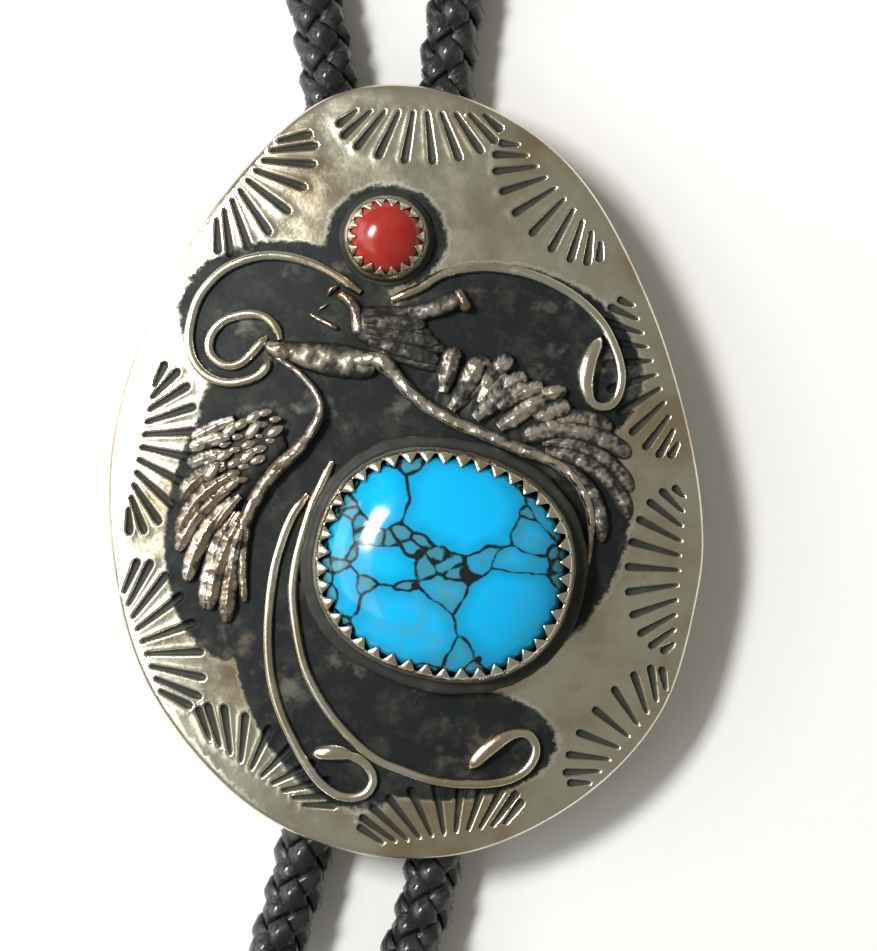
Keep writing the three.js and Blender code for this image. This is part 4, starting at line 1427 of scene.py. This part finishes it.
class BOLO_OT_stage(bpy.types.Operator):
    """Makes the camera, the pale floor and the soft lights"""
    bl_idname = "bolo.stage"
    bl_label = "Stage"

    def execute(self, context):
        scene = context.scene
        stage = scene.bolo_stage
        camera = bpy.data.objects.new("camera", bpy.data.cameras.new("camera"))
        camera.location = (stage.camera_x, stage.camera_y, stage.camera_height)
        camera.data.lens = stage.lens
        camera.data.sensor_width = 36.0
        camera.data.dof.use_dof = False
        camera.data.clip_start = 0.01
        scene.collection.objects.link(camera)
        scene.camera = camera
        low, high = CAD_BOX
        middle = (low + high) / 2
        reach = 1.6
        ways = ((-1, -1), (1, -1), (1, 1), (-1, 1))
        corners = [(middle.x + i * reach, middle.y + j * reach) for i, j in ways]
        mesh = bpy.data.meshes.new("floor")
        mesh.from_pydata([(x, y, 0.0) for x, y in corners], [], [(0, 1, 2, 3)])
        mesh.materials.append(paper_floor(scene.bolo_finishes))
        floor = bpy.data.objects.new("floor", mesh)
        scene.collection.objects.link(floor)
        aimed_light("key_light", KEY_LIGHT, stage.key_power)
        window = aimed_light("window_light", WINDOW_LIGHT, stage.fill_power)
        window.rotation_quaternion = (1.0, 0.0, 0.0, 0.0)
        aimed_light("side_light", SIDE_LIGHT, stage.side_power)
        world = bpy.data.worlds.new("room")
        world.use_nodes = True
        backdrop = world.node_tree.nodes["Background"]
        backdrop.inputs["Color"].default_value = opaque(stage.room)
        backdrop.inputs["Strength"].default_value = 1.0
        scene.world = world
        scene.view_settings.view_transform = "Standard"
        return {"FINISHED"}


class BOLO_OT_cord(bpy.types.Operator):
    """Braids the leather cord along its whole route"""
    bl_idname = "bolo.cord"
    bl_label = "Braided Cord"

    def execute(self, context):
        scene = context.scene
        braided_cord(scene.bolo_sizes, waxed_leather(scene.bolo_finishes), braid_tree())
        return {"FINISHED"}


class BOLO_OT_tips(bpy.types.Operator):
    """Makes the two metal tips on the cord's tails"""
    bl_idname = "bolo.tips"
    bl_label = "Cord Tips"

    def execute(self, context):
        finish = plain_metal("tip_metal", context.scene.bolo_finishes)
        cord_tip("turned_tip_left", "cord_tip_left", ROUTE[0], ROUTE[1], finish)
        cord_tip("turned_tip_right", "cord_tip_right", ROUTE[-1], ROUTE[-2], finish)
        return {"FINISHED"}


class BOLO_OT_clip(bpy.types.Operator):
    """Gives the hidden clip its finish"""
    bl_idname = "bolo.clip"
    bl_label = "Back Clip"

    def execute(self, context):
        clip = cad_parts["back_clip"]
        finish = plain_metal("clip_metal", context.scene.bolo_finishes)
        if clip.material_slots:
            for holder in clip.material_slots:
                holder.material = finish
        else:
            clip.data.materials.append(finish)
        return {"FINISHED"}


class BOLO_OT_slide(bpy.types.Operator):
    """Makes the domed and stamped silver slide"""
    bl_idname = "bolo.slide"
    bl_label = "Slide Face"

    def execute(self, context):
        scene = context.scene
        slide_face(scene.bolo_sizes, face_silver(scene.bolo_finishes))
        return {"FINISHED"}


class BOLO_OT_bezels(bpy.types.Operator):
    """Makes the two toothed bezels"""
    bl_idname = "bolo.bezels"
    bl_label = "Bezels"

    def execute(self, context):
        finish = collar_silver(context.scene.bolo_finishes)
        tree = set_round_tree()
        for stone, setting in (("turquoise", TURQUOISE), ("coral", CORAL)):
            bezel_ring("bezel_" + stone, setting, finish)
            bezel_teeth("bezel_teeth_" + stone, setting, finish, tree)
        return {"FINISHED"}


class BOLO_OT_stones(bpy.types.Operator):
    """Makes the turquoise and the coral"""
    bl_idname = "bolo.stones"
    bl_label = "Stones"

    def execute(self, context):
        look = context.scene.bolo_finishes
        cabochon("turquoise_cabochon", TURQUOISE, turquoise_stone(look),
                 "turquoise_stone", turquoise_chart)
        cabochon("coral_cabochon", CORAL, coral_stone(look), "coral_stone", plain_chart)
        return {"FINISHED"}


class BOLO_OT_wires(bpy.types.Operator):
    """Makes the scroll wires"""
    bl_idname = "bolo.wires"
    bl_label = "Scroll Wires"

    def execute(self, context):
        scene = context.scene
        scroll_wires(scene.bolo_sizes, wire_silver(scene.bolo_finishes), swept_line_tree())
        return {"FINISHED"}


class BOLO_OT_eagle(bpy.types.Operator):
    """Makes the cast eagle"""
    bl_idname = "bolo.eagle"
    bl_label = "Eagle"

    def execute(self, context):
        eagle(relief_silver(context.scene.bolo_finishes), set_round_tree())
        return {"FINISHED"}


OPERATORS = (
    BOLO_OT_stage, BOLO_OT_cord, BOLO_OT_tips, BOLO_OT_clip, BOLO_OT_slide, BOLO_OT_bezels,
    BOLO_OT_stones, BOLO_OT_wires, BOLO_OT_eagle,
)


class BOLO_PT_panel(bpy.types.Panel):
    """Lists the pieces of the bolo tie"""
    bl_idname = "BOLO_PT_panel"
    bl_label = "Bolo Tie"
    bl_space_type = "VIEW_3D"
    bl_region_type = "UI"
    bl_category = "Bolo Tie"

    def draw(self, context):
        for operator in OPERATORS:
            self.layout.operator(operator.bl_idname)
        for group in (context.scene.bolo_sizes, context.scene.bolo_finishes, context.scene.bolo_stage):
            box = self.layout.box()
            for label in group.__annotations__:
                box.prop(group, label)


CLASSES = (BoloSizes, BoloFinishes, BoloStage, *OPERATORS, BOLO_PT_panel)


def register():
    """Adds the classes and the settings."""
    for cls in CLASSES:
        bpy.utils.register_class(cls)
    bpy.types.Scene.bolo_sizes = bpy.props.PointerProperty(type=BoloSizes)
    bpy.types.Scene.bolo_finishes = bpy.props.PointerProperty(type=BoloFinishes)
    bpy.types.Scene.bolo_stage = bpy.props.PointerProperty(type=BoloStage)


def unregister():
    """Takes the settings and the classes away."""
    del bpy.types.Scene.bolo_stage
    del bpy.types.Scene.bolo_finishes
    del bpy.types.Scene.bolo_sizes
    for cls in reversed(CLASSES):
        bpy.utils.unregister_class(cls)


def main():
    """Makes every piece."""
    register()
    for make in ("stage", "cord", "tips", "clip", "slide", "bezels", "stones", "wires", "eagle"):
        getattr(bpy.ops.bolo, make)()


if __name__ == "__main__":
    main()
